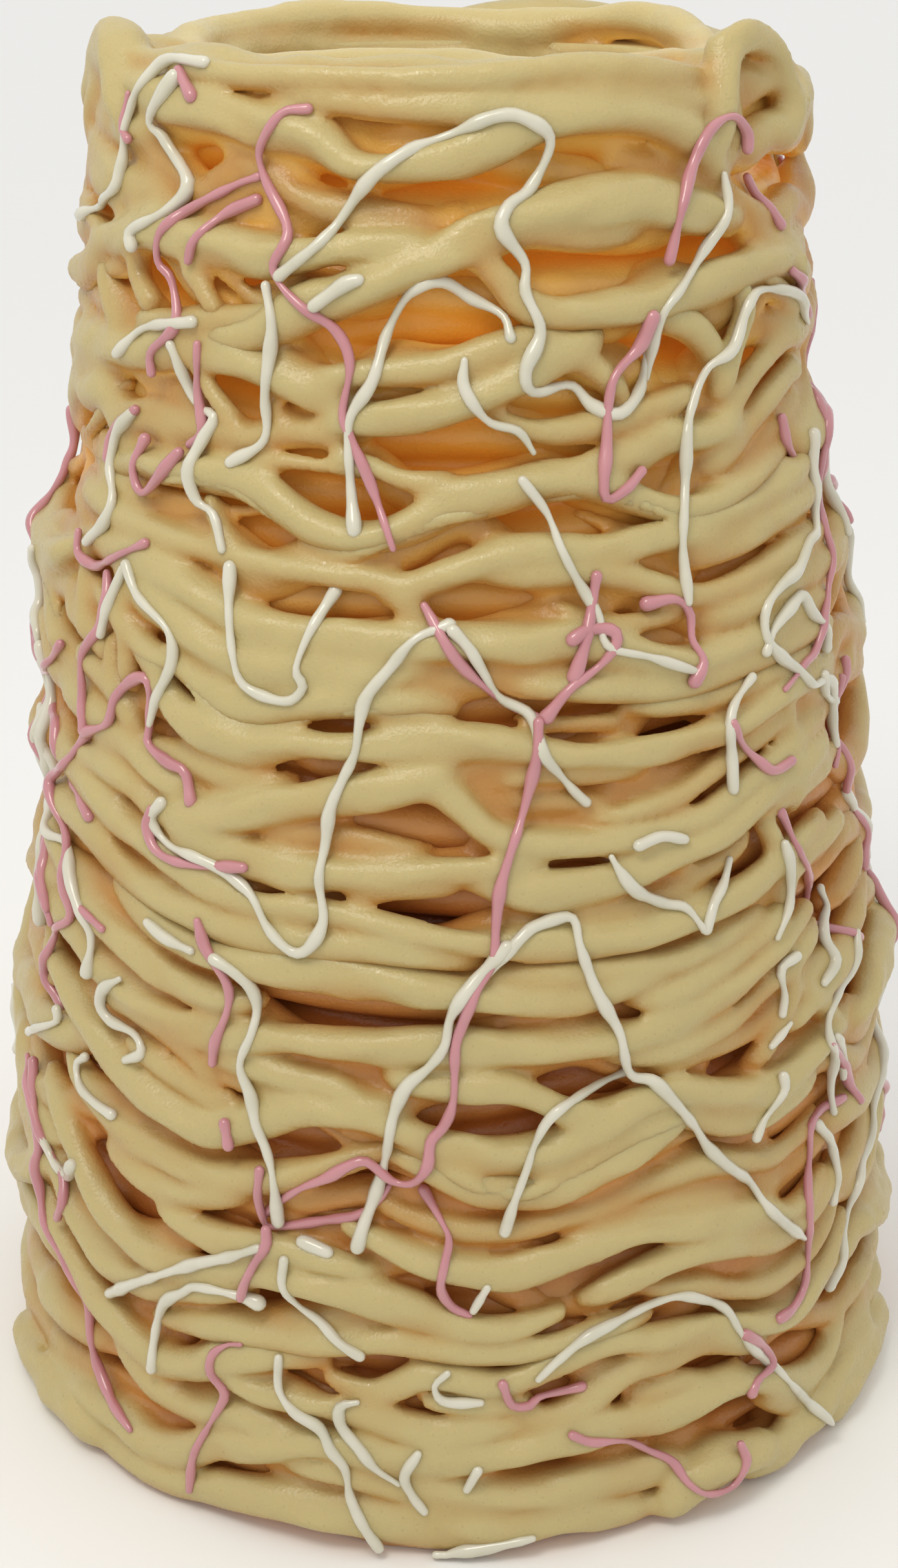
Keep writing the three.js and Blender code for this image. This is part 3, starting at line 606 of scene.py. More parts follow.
        (-34, 58.6, 3.6), (-28, 60.4, 3.3), (-22, 63.4, 3.2), (-16, 63, 3.8), (-10, 61.4, 4.3),
        (-4, 59, 4), (1, 55.6, 3.4), (7, 54.8, 3), (13, 56.6, 2.8)]),
    (2.0, [(-9, 82, 2.4), (-4, 79, 2.8), (2, 76.6, 3), (8, 76, 3), (14, 77.4, 3), (20, 79.4, 3),
        (27, 82, 3.2), (33, 82, 3.3), (39, 79, 3), (45, 77.4, 3), (54, 80, 3)]),
    (0.3, [(-12, 76.6, 2.6), (-8, 74.2, 3), (-4, 71.2, 3.5), (1, 68.8, 3.9), (6, 67.4, 4),
        (11, 68.6, 3.8), (16, 71, 3.6), (22, 72.6, 3.2), (28, 70.6, 3.4), (34, 69, 3.6), (40, 67, 3.4),
        (46, 63.4, 3), (54, 66, 3)]),
    (2.4, [(14, 73.6, 2), (22, 76, 2.4), (30, 74.6, 2.4), (37, 73, 2)]),
    (0.5, [(16, 58.6, 2.4), (20, 61.4, 3.3), (25, 64, 3.4), (31, 64.2, 3.5), (37, 62, 3.6),
        (43, 58.8, 3.3), (50, 60, 3), (58, 66, 3)]),
    (1.0, [(24, 57.6, 2.4), (31, 55.4, 2.8), (37, 50.6, 3.2), (43, 48, 3.4), (50, 50, 3.3), (58, 56, 3)]),
    (0.6, [(-60, 64, 3.2), (-54, 57, 3.5), (-48, 52, 3.6), (-42, 50.4, 3.5), (-36, 52, 3.2), (-30, 55, 3),
        (-24, 57.6, 2.6)]),
    (0.4, [(-66, 58, 3.2), (-58, 49.6, 3.5), (-52, 43, 3.6), (-46, 38.4, 3.7), (-40, 35, 3.8),
        (-36, 34, 3.6), (-31, 36.4, 3.8), (-26, 41.6, 4.4), (-20, 44.3, 4.6), (-15, 45.2, 3.6)]),
    (0.4, [(-38, 43.6, 2.8), (-31, 46.8, 3.2), (-25, 48, 3.3), (-18, 48.2, 3.3), (-13, 49.4, 3),
        (-7, 51.4, 3), (-2, 50.4, 3.2), (4, 49.2, 3.2), (10, 49.4, 3), (17, 51, 3), (24, 52, 3)]),
    # The foot.
    (0.4, [(-14, 41, 2.8), (-9, 38.6, 3.6), (-6, 41, 3.6), (-3, 44, 3.4), (1, 43.6, 3.4), (5, 42, 3.2),
        (9, 43.2, 3), (14, 46.6, 3), (19, 48.4, 3), (25, 46.6, 3.2), (32, 45, 3.2), (39, 41, 3.2),
        (46, 38, 3.4), (53, 42, 3.2), (60, 50, 3)]),
    (0.8, [(-29, 37, 2.4), (-24, 35, 2.8), (-19, 34.6, 3.2), (-14, 34.4, 3), (-9, 33.6, 3.6),
        (-5, 31, 3.8), (0, 30.2, 3.8), (5, 31.4, 3.8), (9, 31.6, 3.6)]),
    (1.2, [(5, 37.4, 2), (8, 35.8, 2.6), (11, 31.4, 3.2), (15, 32.4, 4), (18, 36.6, 4.2), (22, 40.6, 3.8),
        (27, 41, 3.6), (32, 41.4, 3.4), (37, 38, 3.2), (42, 33, 3.2)]),
    (0.8, [(-45, 34, 2.6), (-41, 29.6, 3.2), (-37, 26.6, 3.6), (-31, 25, 3.6), (-25, 27.4, 3.2),
        (-19, 25.6, 3)]),
    (0.0, [(-68, 4, 3.8), (-60, 8, 4.2), (-54, 10.8, 4.2), (-48, 12, 4.4), (-43, 12.4, 4.6),
        (-38, 11, 4.6), (-33, 14, 4), (-28, 19, 4.2), (-22, 21.8, 4.2), (-16, 25.4, 4), (-10, 25, 3.8),
        (-5, 23.4, 3.8), (1, 24.6, 4.6), (6, 25.2, 4.8), (11, 26.4, 4.4), (16, 27.6, 4), (22, 28, 3.8),
        (28, 27, 4.2), (34, 28.6, 3.8), (40, 26.6, 3.4), (46, 20, 3.6), (53, 17, 3.8), (60, 22, 3.4)]),
    (1.4, [(22, 33.6, 2.6), (28, 33.4, 3.2), (33, 30.6, 3), (38, 30.6, 2.8)]),
    (0.2, [(-72, 3, 3.6), (-62, 3.8, 3.8), (-52, 4.8, 3.8), (-44, 4.4, 4), (-36, 4.6, 4.4),
        (-29, 6.6, 3.8), (-22, 7.4, 4), (-15, 7.4, 4.6), (-9, 7.4, 4.4), (-3, 6.6, 4.8), (3, 6.4, 5.2),
        (9, 6, 5.6), (14, 7, 4.8), (19, 5.6, 4), (25, 5, 3.6)]),
    (1.0, [(-30, 8.4, 2.6), (-24, 9.6, 3), (-17, 10, 3.2), (-10, 10.6, 3), (-5, 9.4, 2.6)]),
    (0.6, [(-19, 18.4, 2.8), (-12, 18.6, 3.2), (-6, 16.8, 3.4), (0, 15.8, 4), (6, 14.4, 4.4),
        (12, 14.2, 4.6), (18, 14.4, 4.2), (24, 14, 4), (29, 12.4, 4.4)]),
    (0.8, [(-7, 11, 2), (-1, 11, 3), (6, 9.6, 3.6), (13, 9.6, 3.6), (20, 7.8, 3)]),
    (-2.4, [(26, 5, 4), (30, 9, 5.6), (34, 11, 6), (38, 10, 4.8), (42, 8.6, 4.6)]),
    (-1.4, [(38, 5, 4), (43, 5.8, 5), (48, 7, 5.4), (53, 9, 4.6), (60, 12, 3.8), (70, 12, 3.6)]),
    (0.6, [(-3, 38.2, 2.2), (1, 37.4, 2.8), (5, 36.6, 2.8), (9, 37.2, 2.2)]),
    (0.8, [(41, 21, 2.6), (46, 15, 3), (51, 11, 3)]),
    (-0.6, [(55, 3.6, 3.6), (64, 4.6, 4), (74, 4, 4)]),
]


# ---- Geometry Nodes ----


def add_node(tree: bpy.types.NodeTree, kind: str, settings: dict | None = None,
             **inputs: object) -> bpy.types.Node:
    """Adds a node to a tree.

    Args:
        tree: the tree.
        kind: the node's type.
        settings: properties of the node itself.
        **inputs: what its sockets take: a value, or a socket of another node. The name is the
            socket's name in lower case with _ for a space, or i0, i1 and so on for its place.

    Returns:
        The new node.
    """
    node = tree.nodes.new(kind)
    for name, value in (settings or {}).items():
        setattr(node, name, value)
    for name, value in inputs.items():
        if name[0] == "i" and name[1:].isdigit():
            socket = node.inputs[int(name[1:])]
        else:
            label = name.replace("_", " ")
            socket = next(s for s in node.inputs if s.enabled and s.name.lower() == label)
        if isinstance(value, bpy.types.NodeSocket):
            tree.links.new(value, socket)
        else:
            socket.default_value = value
    return node


def math_node(tree: bpy.types.NodeTree, operation: str, *values: object) -> bpy.types.NodeSocket:
    """The result of a Math node on values or sockets."""
    inputs = {f"i{i}": value for i, value in enumerate(values)}
    return add_node(tree, "ShaderNodeMath", {"operation": operation}, **inputs).outputs[0]


def new_tree(name: str, sockets: dict[str, tuple[str, object]]) -> tuple[bpy.types.NodeTree, dict]:
    """Makes an empty Geometry Nodes tree.

    Args:
        name: the tree's name.
        sockets: each input's name, with its socket type and first value.

    Returns:
        The tree, and its inputs' sockets by name.
    """
    tree = bpy.data.node_groups.new(name, "GeometryNodeTree")
    tree.interface.new_socket("Geometry", in_out="INPUT", socket_type="NodeSocketGeometry")
    for label, (kind, value) in sockets.items():
        socket = tree.interface.new_socket(label, in_out="INPUT", socket_type=kind)
        if value is not None:
            socket.default_value = value
    tree.interface.new_socket("Geometry", in_out="OUTPUT", socket_type="NodeSocketGeometry")
    entry = tree.nodes.new("NodeGroupInput")
    return tree, {socket.name: socket for socket in entry.outputs if socket.name}


def finish_tree(tree: bpy.types.NodeTree, geometry: bpy.types.NodeSocket, material: object) -> None:
    """Ends a tree in Set Shade Smooth, Realize Instances and Set Material.

    Args:
        tree: the tree.
        geometry: the socket that the finished form comes from.
        material: the tree's input socket for the material.
    """
    smooth = add_node(tree, "GeometryNodeSetShadeSmooth", geometry=geometry)
    real = add_node(tree, "GeometryNodeRealizeInstances", geometry=smooth.outputs[0])
    dressed = add_node(tree, "GeometryNodeSetMaterial", geometry=real.outputs[0], material=material)
    add_node(tree, "NodeGroupOutput", geometry=dressed.outputs[0])


def run_tree(source: bpy.types.Object, tree: bpy.types.NodeTree,
             values: dict[str, object]) -> bpy.types.Object:
    """Runs a Geometry Nodes tree on an object and leaves its result as a plain mesh.

    Args:
        source: the object that the tree reads. It is removed.
        tree: the tree.
        values: values for the tree's inputs, by name.

    Returns:
        A new object, with the source's name.
    """
    modifier = source.modifiers.new(tree.name, "NODES")
    modifier.node_group = tree
    for item in tree.interface.items_tree:
        if item.in_out == "INPUT" and item.name in values:
            modifier[item.identifier] = values[item.name]
    graph = bpy.context.evaluated_depsgraph_get()
    mesh = bpy.data.meshes.new_from_object(source.evaluated_get(graph), depsgraph=graph)
    source.modifiers.remove(modifier)
    name = source.name
    bpy.data.objects.remove(source)
    mesh.name = name
    piece = bpy.data.objects.new(name, mesh)
    bpy.context.scene.collection.objects.link(piece)
    return piece


def nearest_thread(tree: bpy.types.NodeTree, geometry: bpy.types.NodeSocket, where: bpy.types.NodeSocket,
                   kin: Family) -> tuple[bpy.types.NodeSocket, bpy.types.NodeSocket]:
    """Finds the nearest thread of one family.

    Args:
        tree: the tree.
        geometry: all threads' middle lines.
        where: the position that is asked about.
        kin: the family.

    Returns:
        The sockets of the distance to the thread's middle line and of its radius there.
    """
    integer, point = {"data_type": "INT"}, {"domain": "POINT"}
    family = add_node(tree, "GeometryNodeInputNamedAttribute", integer, name="family").outputs[0]
    thick = add_node(tree, "GeometryNodeInputNamedAttribute", {"data_type": "FLOAT"}, name="thick")
    own = add_node(tree, "FunctionNodeCompare", {**integer, "operation": "EQUAL"}, a=family, b=int(kin))
    part = add_node(tree, "GeometryNodeSeparateGeometry", {"domain": "EDGE"}, geometry=geometry,
                    selection=own.outputs[0]).outputs[0]
    near = add_node(tree, "GeometryNodeProximity", {"target_element": "EDGES"}, geometry=part,
                    sample_position=where)
    index = add_node(tree, "GeometryNodeSampleNearest", point, geometry=part,
                     sample_position=near.outputs["Position"]).outputs[0]
    radius = add_node(tree, "GeometryNodeSampleIndex", {"data_type": "FLOAT", **point}, geometry=part,
                      value=thick.outputs[0], index=index).outputs[0]
    # A family that has no thread here says that its distance isn't valid.
    distance = add_node(tree, "GeometryNodeSwitch", {"input_type": "FLOAT"},
                        switch=near.outputs["Is Valid"], false=1.0, true=near.outputs["Distance"])
    return distance.outputs[0], radius


def thread_field_tree() -> bpy.types.NodeTree:
    """The tree that turns threads' middle lines into one fused skin.

    Every point of a grid gets its distance to the nearest thread of each family, less that
    thread's radius there. The distances are blended so that threads that touch run together,
    as wet batter does, and the skin is laid where the blend is nought.

    Returns:
        The tree.
    """
    number, vector = "NodeSocketFloat", "NodeSocketVector"
    tree, given = new_tree("batter_threads", {
        "Material": ("NodeSocketMaterial", None),
        "Low corner": (vector, (0, 0, 0)),
        "High corner": (vector, (0.1, 0.1, 0.1)),
        "Voxel": (number, 0.0012),
        "Blend": (number, 0.0027),
        "Unevenness": (number, 0.17),
        "Lump length": (number, 0.017),
    })
    where = add_node(tree, "GeometryNodeInputPosition").outputs[0]
    lumps = add_node(tree, "ShaderNodeTexNoise", vector=where, detail=1.0, roughness=0.5,
                     scale=math_node(tree, "DIVIDE", 1.0, given["Lump length"])).outputs[0]
    uneven = math_node(tree, "MULTIPLY_ADD", math_node(tree, "MULTIPLY_ADD", lumps, 2.0, -1.0),
                       math_node(tree, "MULTIPLY", given["Unevenness"], 2.0), 1.0)
    blend = None
    for kin in Family:
        distance, radius = nearest_thread(tree, given["Geometry"], where, kin)
        over = math_node(tree, "SUBTRACT", distance, math_node(tree, "MULTIPLY", radius, uneven))
        blend = over if blend is None else math_node(tree, "SMOOTH_MIN", blend, over, given["Blend"])
    # Nothing reaches below the table.
    height = add_node(tree, "ShaderNodeSeparateXYZ", vector=where).outputs[2]
    standing = math_node(tree, "MAXIMUM", blend, math_node(tree, "MULTIPLY", height, -1.0))
    # The volume fades from full to empty over a band of a few grid steps.
    band = math_node(tree, "MULTIPLY", given["Voxel"], 6.0)
    fading = math_node(tree, "SUBTRACT", 0.5, math_node(tree, "DIVIDE", standing, band))
    density = add_node(tree, "ShaderNodeClamp", value=fading).outputs[0]
    low, high = given["Low corner"], given["High corner"]
    span = add_node(tree, "ShaderNodeVectorMath", {"operation": "SUBTRACT"}, i0=high, i1=low).outputs[0]
    sides = add_node(tree, "ShaderNodeSeparateXYZ", vector=span).outputs
    steps = {f"resolution_{axis}": math_node(tree, "DIVIDE", side, given["Voxel"])
             for axis, side in zip("xyz", sides)}
    volume = add_node(tree, "GeometryNodeVolumeCube", density=density, background=0.0, min=low,
                      max=high, **steps)
    skin = add_node(tree, "GeometryNodeVolumeToMesh", volume=volume.outputs[0], threshold=0.5,
                    adaptivity=0.0)
    finish_tree(tree, skin.outputs[0], given["Material"])
    return tree


def lines_object(name: str, threads: list[Thread]) -> bpy.types.Object:
    """An object of the threads' middle lines, in metres.

    Args:
        name: the object's name.
        threads: the threads, all of them with a family or all without.

    Returns:
        The object. Its points have the attribute thick, and its edges family where threads do.
    """
    edges, families = [], []
    count = 0
    for thread in threads:
        n = len(thread.points)
        links = [(count + i, count + i + 1) for i in range(n - 1)]
        if thread.closed:
            links.append((count + n - 1, count))
        edges += links
        if thread.family is not None:
            families += [int(thread.family)] * len(links)
        count += n
    mesh = bpy.data.meshes.new(name)
    mesh.from_pydata((np.vstack([thread.points for thread in threads]) * MM).tolist(), edges, [])
    if families:
        mesh.attributes.new("family", "INT", "EDGE").data.foreach_set("value", families)
    radii = np.concatenate([thread.thick for thread in threads]) * MM
    mesh.attributes.new("thick", "FLOAT", "POINT").data.foreach_set("value", radii.astype(np.float32))
    lines = bpy.data.objects.new(name, mesh)
    bpy.context.scene.collection.objects.link(lines)
    return lines


# ---- The batter ----


# Dents in the outline at the left and the right: angle, height, depth.
DENTS = [(-80, 214, 4.5), (-80, 164, 6), (-80, 139, 5), (-82, 113, 4), (80, 256, 6), (80, 236, 5),
         (82, 210, 4), (80, 186, 4), (80, 140, 3.5)]
# Threads over the rim: angle outside, angle inside, how far they stand out and up.
RIM_LOOPS = [(-83, -68, 2.6), (46, 60, 1.2), (82, 66, 2), (152, 138, 1.6)]
# The rings on top of the wall: radius, and height below the top.
RIM_RINGS = [(59.5, 6.4), (52.8, 4.6)]
# Heights in the bore where whole threads show, below the rim.
BORE_RIDGES = [291, 282, 272]


@dataclass
class BatterTower:
    """The outer batter: rings of thread, threads between and across them, and the rim.

    Attributes:
        draw: the random numbers for all that the CAD solid doesn't have.
        voxel: the grid step in which the threads are fused.
        grid_margin: how far the grid reaches past the threads' middle lines.
        ring_waves: waves in a ring's thickness: count in a turn, and share of the radius.
        ring_inset: how much further in than the CAD solid's the rings lie, below the ropes.
        front_edge: the angle up to which the front's threads are listed.
        recess: how far the rings lie behind those threads.
        filled_over: rings further apart than this have threads between them.
        gap_clear: how far those threads stay from a gap.
        slim: the share of a rope's read radius that is its own, the rest being its blends.
        end_dive: how much deeper a rope's ends lie than its middle.
        ridged_over: ropes of more than this radius have ridges.
        more_strands: finer ones, which only the visual model has.
        side_ropes: long, slanting threads of all thicknesses over the rings there.
        tier_drop: how far below the middle of its first ring a tier starts.
        tiers: pieces, with the first row of each and the row after its last.
    """

    form: TowerForm
    rings: RingRule
    draw: Draw
    voxel: float = 1.2
    grid_margin: float = 9.5
    step: float = 1.25
    ring_waves: tuple[tuple[int, float], ...] = ((2, 0.1), (5, 0.1), (9, 0.08), (14, 0.06))
    ring_inset: float = 1.0
    front_edge: float = 58
    recess: float = 2.8
    filled_over: float = 7.2
    gap_clear: float = 3.4
    slim: float = 0.93
    rope_step: float = 1.6
    end_dive: float = 2.6
    ridged_over: float = 2.9
    side_strands: int = 4
    more_strands: int = 16
    side_ropes: int = 84
    back_rise: float = 3.6
    rim_thread: float = 4.2
    loop_thread: float = 3.6
    tier_drop: float = 5
    tiers: tuple[tuple[str, int, int], ...] = (
        ("threads_foot", 0, 4), ("threads_low", 4, 8), ("threads_lower", 8, 12),
        ("threads_middle", 12, 16), ("threads_upper", 16, 19), ("threads_high", 19, 22),
        ("threads_rim", 22, 26))
    angle: np.ndarray = field(init=False)
    heights: np.ndarray = field(init=False)

    def __post_init__(self) -> None:
        """Works out where the rings lie."""
        self.angle = np.arange(0, 360, self.step)
        self.heights = self.rings.heights(self.angle)

    def behind(self, angle: np.ndarray, z: np.ndarray) -> np.ndarray:
        """How far a ring lies below its usual place, behind the front's threads and in dents.

        Args:
            angle: degrees round the tower.
            z: heights.

        Returns:
            The depth at each angle and height.
        """
        edge = self.front_edge
        below = self.recess * (1 - smoothstep(np.abs(half_turn(angle)), edge - 12, edge + 4))
        for at, level, depth in DENTS:
            below = below + depth * np.exp(-((half_turn(angle - at) / 15) ** 2) - ((z - level) / 8) ** 2)
        return below

    def ring_threads(self) -> list[Thread]:
        """Lays the rings.

        Returns:
            One closed thread of uneven thickness for each ring.
        """
        found = []
        turn = np.radians(self.angle)
        for row, z in enumerate(self.heights):
            uneven = np.zeros_like(turn)
            for count, size in self.ring_waves:
                uneven = uneven + size * np.sin(count * turn + math.tau * self.draw())
            thick = self.form.thread_radius(z) * (0.97 + uneven)
            radius = self.rings.radii(row, self.angle, z) - self.behind(self.angle, z)
            radius = radius + 1.6 * uneven - self.ring_inset
            family = Family.EVEN if row % 2 == 0 else Family.ODD
            found.append(Thread(place(self.angle, radius, z), thick, family, True))
        return found

    def filler_threads(self) -> list[Thread]:
        """Lays threads between the rings, a little behind them, wherever there is no gap.

        Returns:
            The threads.
        """
        found = []
        count = len(self.angle)
        for row in range(self.rings.rows - 1):
            low, high = self.heights[row], self.heights[row + 1]
            gap = self.rings.in_gap(self.angle, (low + high) / 2, self.gap_clear)
            wanted = (high - low > self.filled_over) & ~gap
            start = int(np.argmin(wanted))
            run = []
            for i in range(start, start + count + 1):
                if wanted[i % count] and i < start + count:
                    run.append(i)
                    continue
                found += self.fill_run(row, run)
                run = []
        return found

    def fill_run(self, row: int, run: list[int]) -> list[Thread]:
        """Lays threads in one run of angles between a ring and the next.

        Args:
            row: the lower ring.
            run: places in the row of angles, without a break.

        Returns:
            The threads. Each climbs or falls from one ring towards the other.
        """
        found = []
        count = len(self.angle)
        at = 0
        while len(run) - at >= 8:
            length = min(len(run) - at, round(self.draw.between(22, 50) / self.step))
            index = np.arange(run[at] - 3, run[at + length - 1] + 4)
            at += max(6, length - 5)
            low, high = self.heights[row][index % count], self.heights[row + 1][index % count]
            share = np.linspace(0, 1, len(index))
            ends = (self.draw.between(-0.05, 0.45), self.draw.between(0.55, 1.05))
            if self.draw() < 0.5:
                ends = ends[::-1]
            z = low + (high - low) * (ends[0] + (ends[1] - ends[0]) * smoothstep(share, 0.05, 0.95))
            swell = np.sin(np.pi * share)
            sunk = self.draw.between(0.2, 2.6) + 2.2 * (1 - swell) ** 4
            thick = self.draw.between(1.6, 3.8) * (0.75 + 0.25 * swell)
            angle = index * self.step
            radius = self.form.outer_radius(z) - thick - sunk - 0.8 - self.behind(angle, z)
            found.append(Thread(place(angle, radius, z), thick))
        return found

    def rope(self, turns: Turns, sunk: float) -> Thread:
        """A thread that runs over the tower through turning points.

        Args:
            turns: its turning points: angle, height and radius.
            sunk: how far it lies below the tower's outside. Its ends dive deeper.

        Returns:
            The thread.
        """
        slimmed = [(angle, z, self.slim * thick) for angle, z, thick in turns]
        angle, z, thick = self.form.smooth_run(slimmed, self.rope_step).T
        end = (1 - np.sin(np.pi * np.linspace(0, 1, len(z)))) ** 6
        thick = thick * (1 - 0.3 * end)
        dent = self.behind(angle, z) * (np.abs(half_turn(angle)) > self.front_edge + 5)
        radius = self.form.outer_radius(z) - thick - sunk - self.end_dive * end - dent
        return Thread(place(angle, radius, z), thick)

    def strand_threads(self) -> list[Thread]:
        """The threads over the rings: on the front as listed, elsewhere by rule."""
        front = [self.rope(turns, sunk) for sunk, turns in FRONT_THREADS]
        return front + self.crossing_threads() + self.fine_threads() + self.slanting_threads()

    def crossing_threads(self) -> list[Thread]:
        """The threads that cross the rings where the CAD solid's do, past the front.

        Returns:
            The threads.
        """
        found = []
        draw = self.rings.draw
        first = self.front_edge + 18
        for i in range(self.side_strands):
            angle = first + (360 - 2 * first) * (i + draw()) / self.side_strands
            z = 40 + 215 * draw()
            climb = (-1 if draw() < 0.5 else 1) * (12 + 10 * draw())
            turns = [(angle - 12, z - climb, 3.4), (angle - 4, z - 0.4 * climb, 3.6),
                     (angle + 4, z + 0.4 * climb, 3.6), (angle + 12, z + climb, 3.4)]
            found.append(self.rope(turns, 0.2))
        return found

    def fine_threads(self) -> list[Thread]:
        """Short, finer threads that cross the rings past the front.

        Returns:
            The threads.
        """
        found = []
        draw = self.draw
        around = 360 - 2 * self.front_edge - 16
        for i in range(self.more_strands):
            angle = self.front_edge + 6 + around * (i + draw()) / self.more_strands
            z = draw.between(18, 270)
            climb = draw.between(6, 15) * (-1 if draw() < 0.5 else 1)
            wide = draw.between(9, 17)
            thick = draw.between(1.8, 3.6)
            turns = [(angle - wide, z - climb, thick), (angle - 0.3 * wide, z - 0.5 * climb, thick),
                     (angle + 0.4 * wide, z + 0.4 * climb, thick), (angle + wide, z + climb, thick)]
            found.append(self.rope(turns, 1.0))
        return found

    def slanting_threads(self) -> list[Thread]:
        """Long threads that wander up and down over the rings past the front.

        Returns:
            The threads. They stop where the listed ones begin.
        """
        found = []
        draw = self.draw
        inside = self.front_edge - 4
        for i in range(self.side_ropes):
            angle = self.front_edge + (360 - 2 * self.front_edge) * (i * GOLDEN % 1)
            z = 6 + 286 * (i + draw()) / self.side_ropes
            slope = draw.between(-0.9, 0.9)
            size = draw.between(1.8, 4.8)
            turns = []
            for _ in range(round(draw.between(4, 9))):
                turns.append((angle, min(292, max(size - 0.6, z)), size * draw.between(0.8, 1.2)))
                slope = 0.7 * slope + draw.between(-0.45, 0.45)
                angle += 6.5
                z += 11 * slope
            if -inside < half_turn(turns[-1][0]) < 0:
                turns = [turn for turn in turns if abs(half_turn(turn[0])) > inside]
            if len(turns) > 3:
                found.append(self.rope(turns, draw.between(0.2, 3.0)))
        return found

    def rim_threads(self) -> list[Thread]:
        """Lays the threads on top of the wall, over the rim, and in the top of the bore.

        Returns:
            The threads.
        """
        found = []
        form, angle = self.form, self.angle
        back = self.back_rise * smoothstep(np.abs(half_turn(angle)), 90, 140)
        for i, (radius, drop) in enumerate(RIM_RINGS):
            wave = 1.6 * np.sin(np.radians(3 * angle + 100 * i))
            wave = wave + 1.1 * np.sin(np.radians(5 * angle + 70 + 130 * i))
            z = form.height - drop + 0.8 * wave - 1 + back
            thick = self.rim_thread + 0.5 * np.sin(np.radians(7 * angle + 50 * i))
            found.append(Thread(place(angle, radius + 0.6 * wave, z), thick, Family(i), True))
        for i, level in enumerate(BORE_RIDGES):
            wave = 2 * np.sin(np.radians(2 * angle + 140 * i)) + np.sin(np.radians(5 * angle + 60 * i))
            points = place(angle, float(form.bore_radius(level)) + 3.4, level + wave)
            found.append(Thread(points, np.full_like(wave, self.rim_thread), Family(i % 2), True))
        middle = (form.top_radius + form.bore_top_radius) / 2
        half = (form.top_radius - form.bore_top_radius) / 2 - 3
        for outside, inside, proud in RIM_LOOPS:
            share = np.linspace(0, 1, 24)
            turn = np.pi * (5 * share - 0.4) / 4.4
            radius = middle + (half + proud) * np.cos(turn)
            z = form.height - 17 + (12.4 + 0.2 * proud) * np.sin(turn)
            points = place(outside + (inside - outside) * share, radius, z)
            found.append(Thread(points, np.full_like(z, self.loop_thread)))
        return found

    def ridges(self, thread: Thread) -> list[Thread]:
        """Two thin ridges that wind along a thick thread, where thinner ones ran together.

        Args:
            thread: the thick thread.

        Returns:
            The ridges, the higher one first.
        """
        out = thread.points * (1, 1, 0)
        out = out / np.linalg.norm(out, axis=1)[:, None]
        along = along_line(thread.points)
        found = []
        for family, side in ((Family.HIGH_RIDGE, 1), (Family.LOW_RIDGE, -1)):
            lean = 38 * side + 30 * np.sin(math.tau * (along / self.draw.between(34, 60) + self.draw()))
            lean = np.radians(lean)[:, None]
            away = np.cos(lean) * out + np.sin(lean) * (0, 0, 1)
            height = 0.72 + 0.1 * np.sin(math.tau * (along / self.draw.between(14, 25) + self.draw()))
            points = thread.points + (thread.thick * height)[:, None] * away
            found.append(Thread(points, 0.4 * thread.thick, family, thread.closed))
        return found

    def make(self, material: bpy.types.Material) -> list[bpy.types.Object]:
        """Builds the tiers of threads.

        Args:
            material: the batter's material.

        Returns:
            The tiers from the foot up, each one closed mesh.
        """
        tree = thread_field_tree()
        threads = self.ring_threads() + self.strand_threads() + self.filler_threads()
        for thread in list(threads):
            if thread.thick.mean() > self.ridged_over and not thread.closed:
                threads += self.ridges(thread)
        middles = self.heights.mean(axis=1)
        pieces = []
        for name, low, high in self.tiers:
            floor = middles[low] - self.tier_drop if low else -1
            ceiling = middles[high] - self.tier_drop if high < self.rings.rows else math.inf
            chosen = [thread for thread in threads if floor <= thread.points[:, 2].mean() < ceiling]
            if high == self.rings.rows:
                chosen += self.rim_threads()
            pieces.append(self.skin(name, chosen, tree, material))
        return pieces

    def skin(self, name: str, threads: list[Thread], tree: bpy.types.NodeTree,
             material: bpy.types.Material) -> bpy.types.Object:
        """Fuses some threads to one closed mesh.

        Args:
            name: the piece's name.
            threads: the threads.
            tree: the tree from thread_field_tree.
            material: the batter's material.

        Returns:
            The piece.
        """
        share_out(threads)
        points = np.vstack([thread.points for thread in threads])
        return run_tree(lines_object(name, threads), tree, {
            "Material": material,
            "Low corner": tuple((points.min(axis=0) - self.grid_margin) * MM),
            "High corner": tuple((points.max(axis=0) + self.grid_margin) * MM),
            "Voxel": self.voxel * MM,
        })


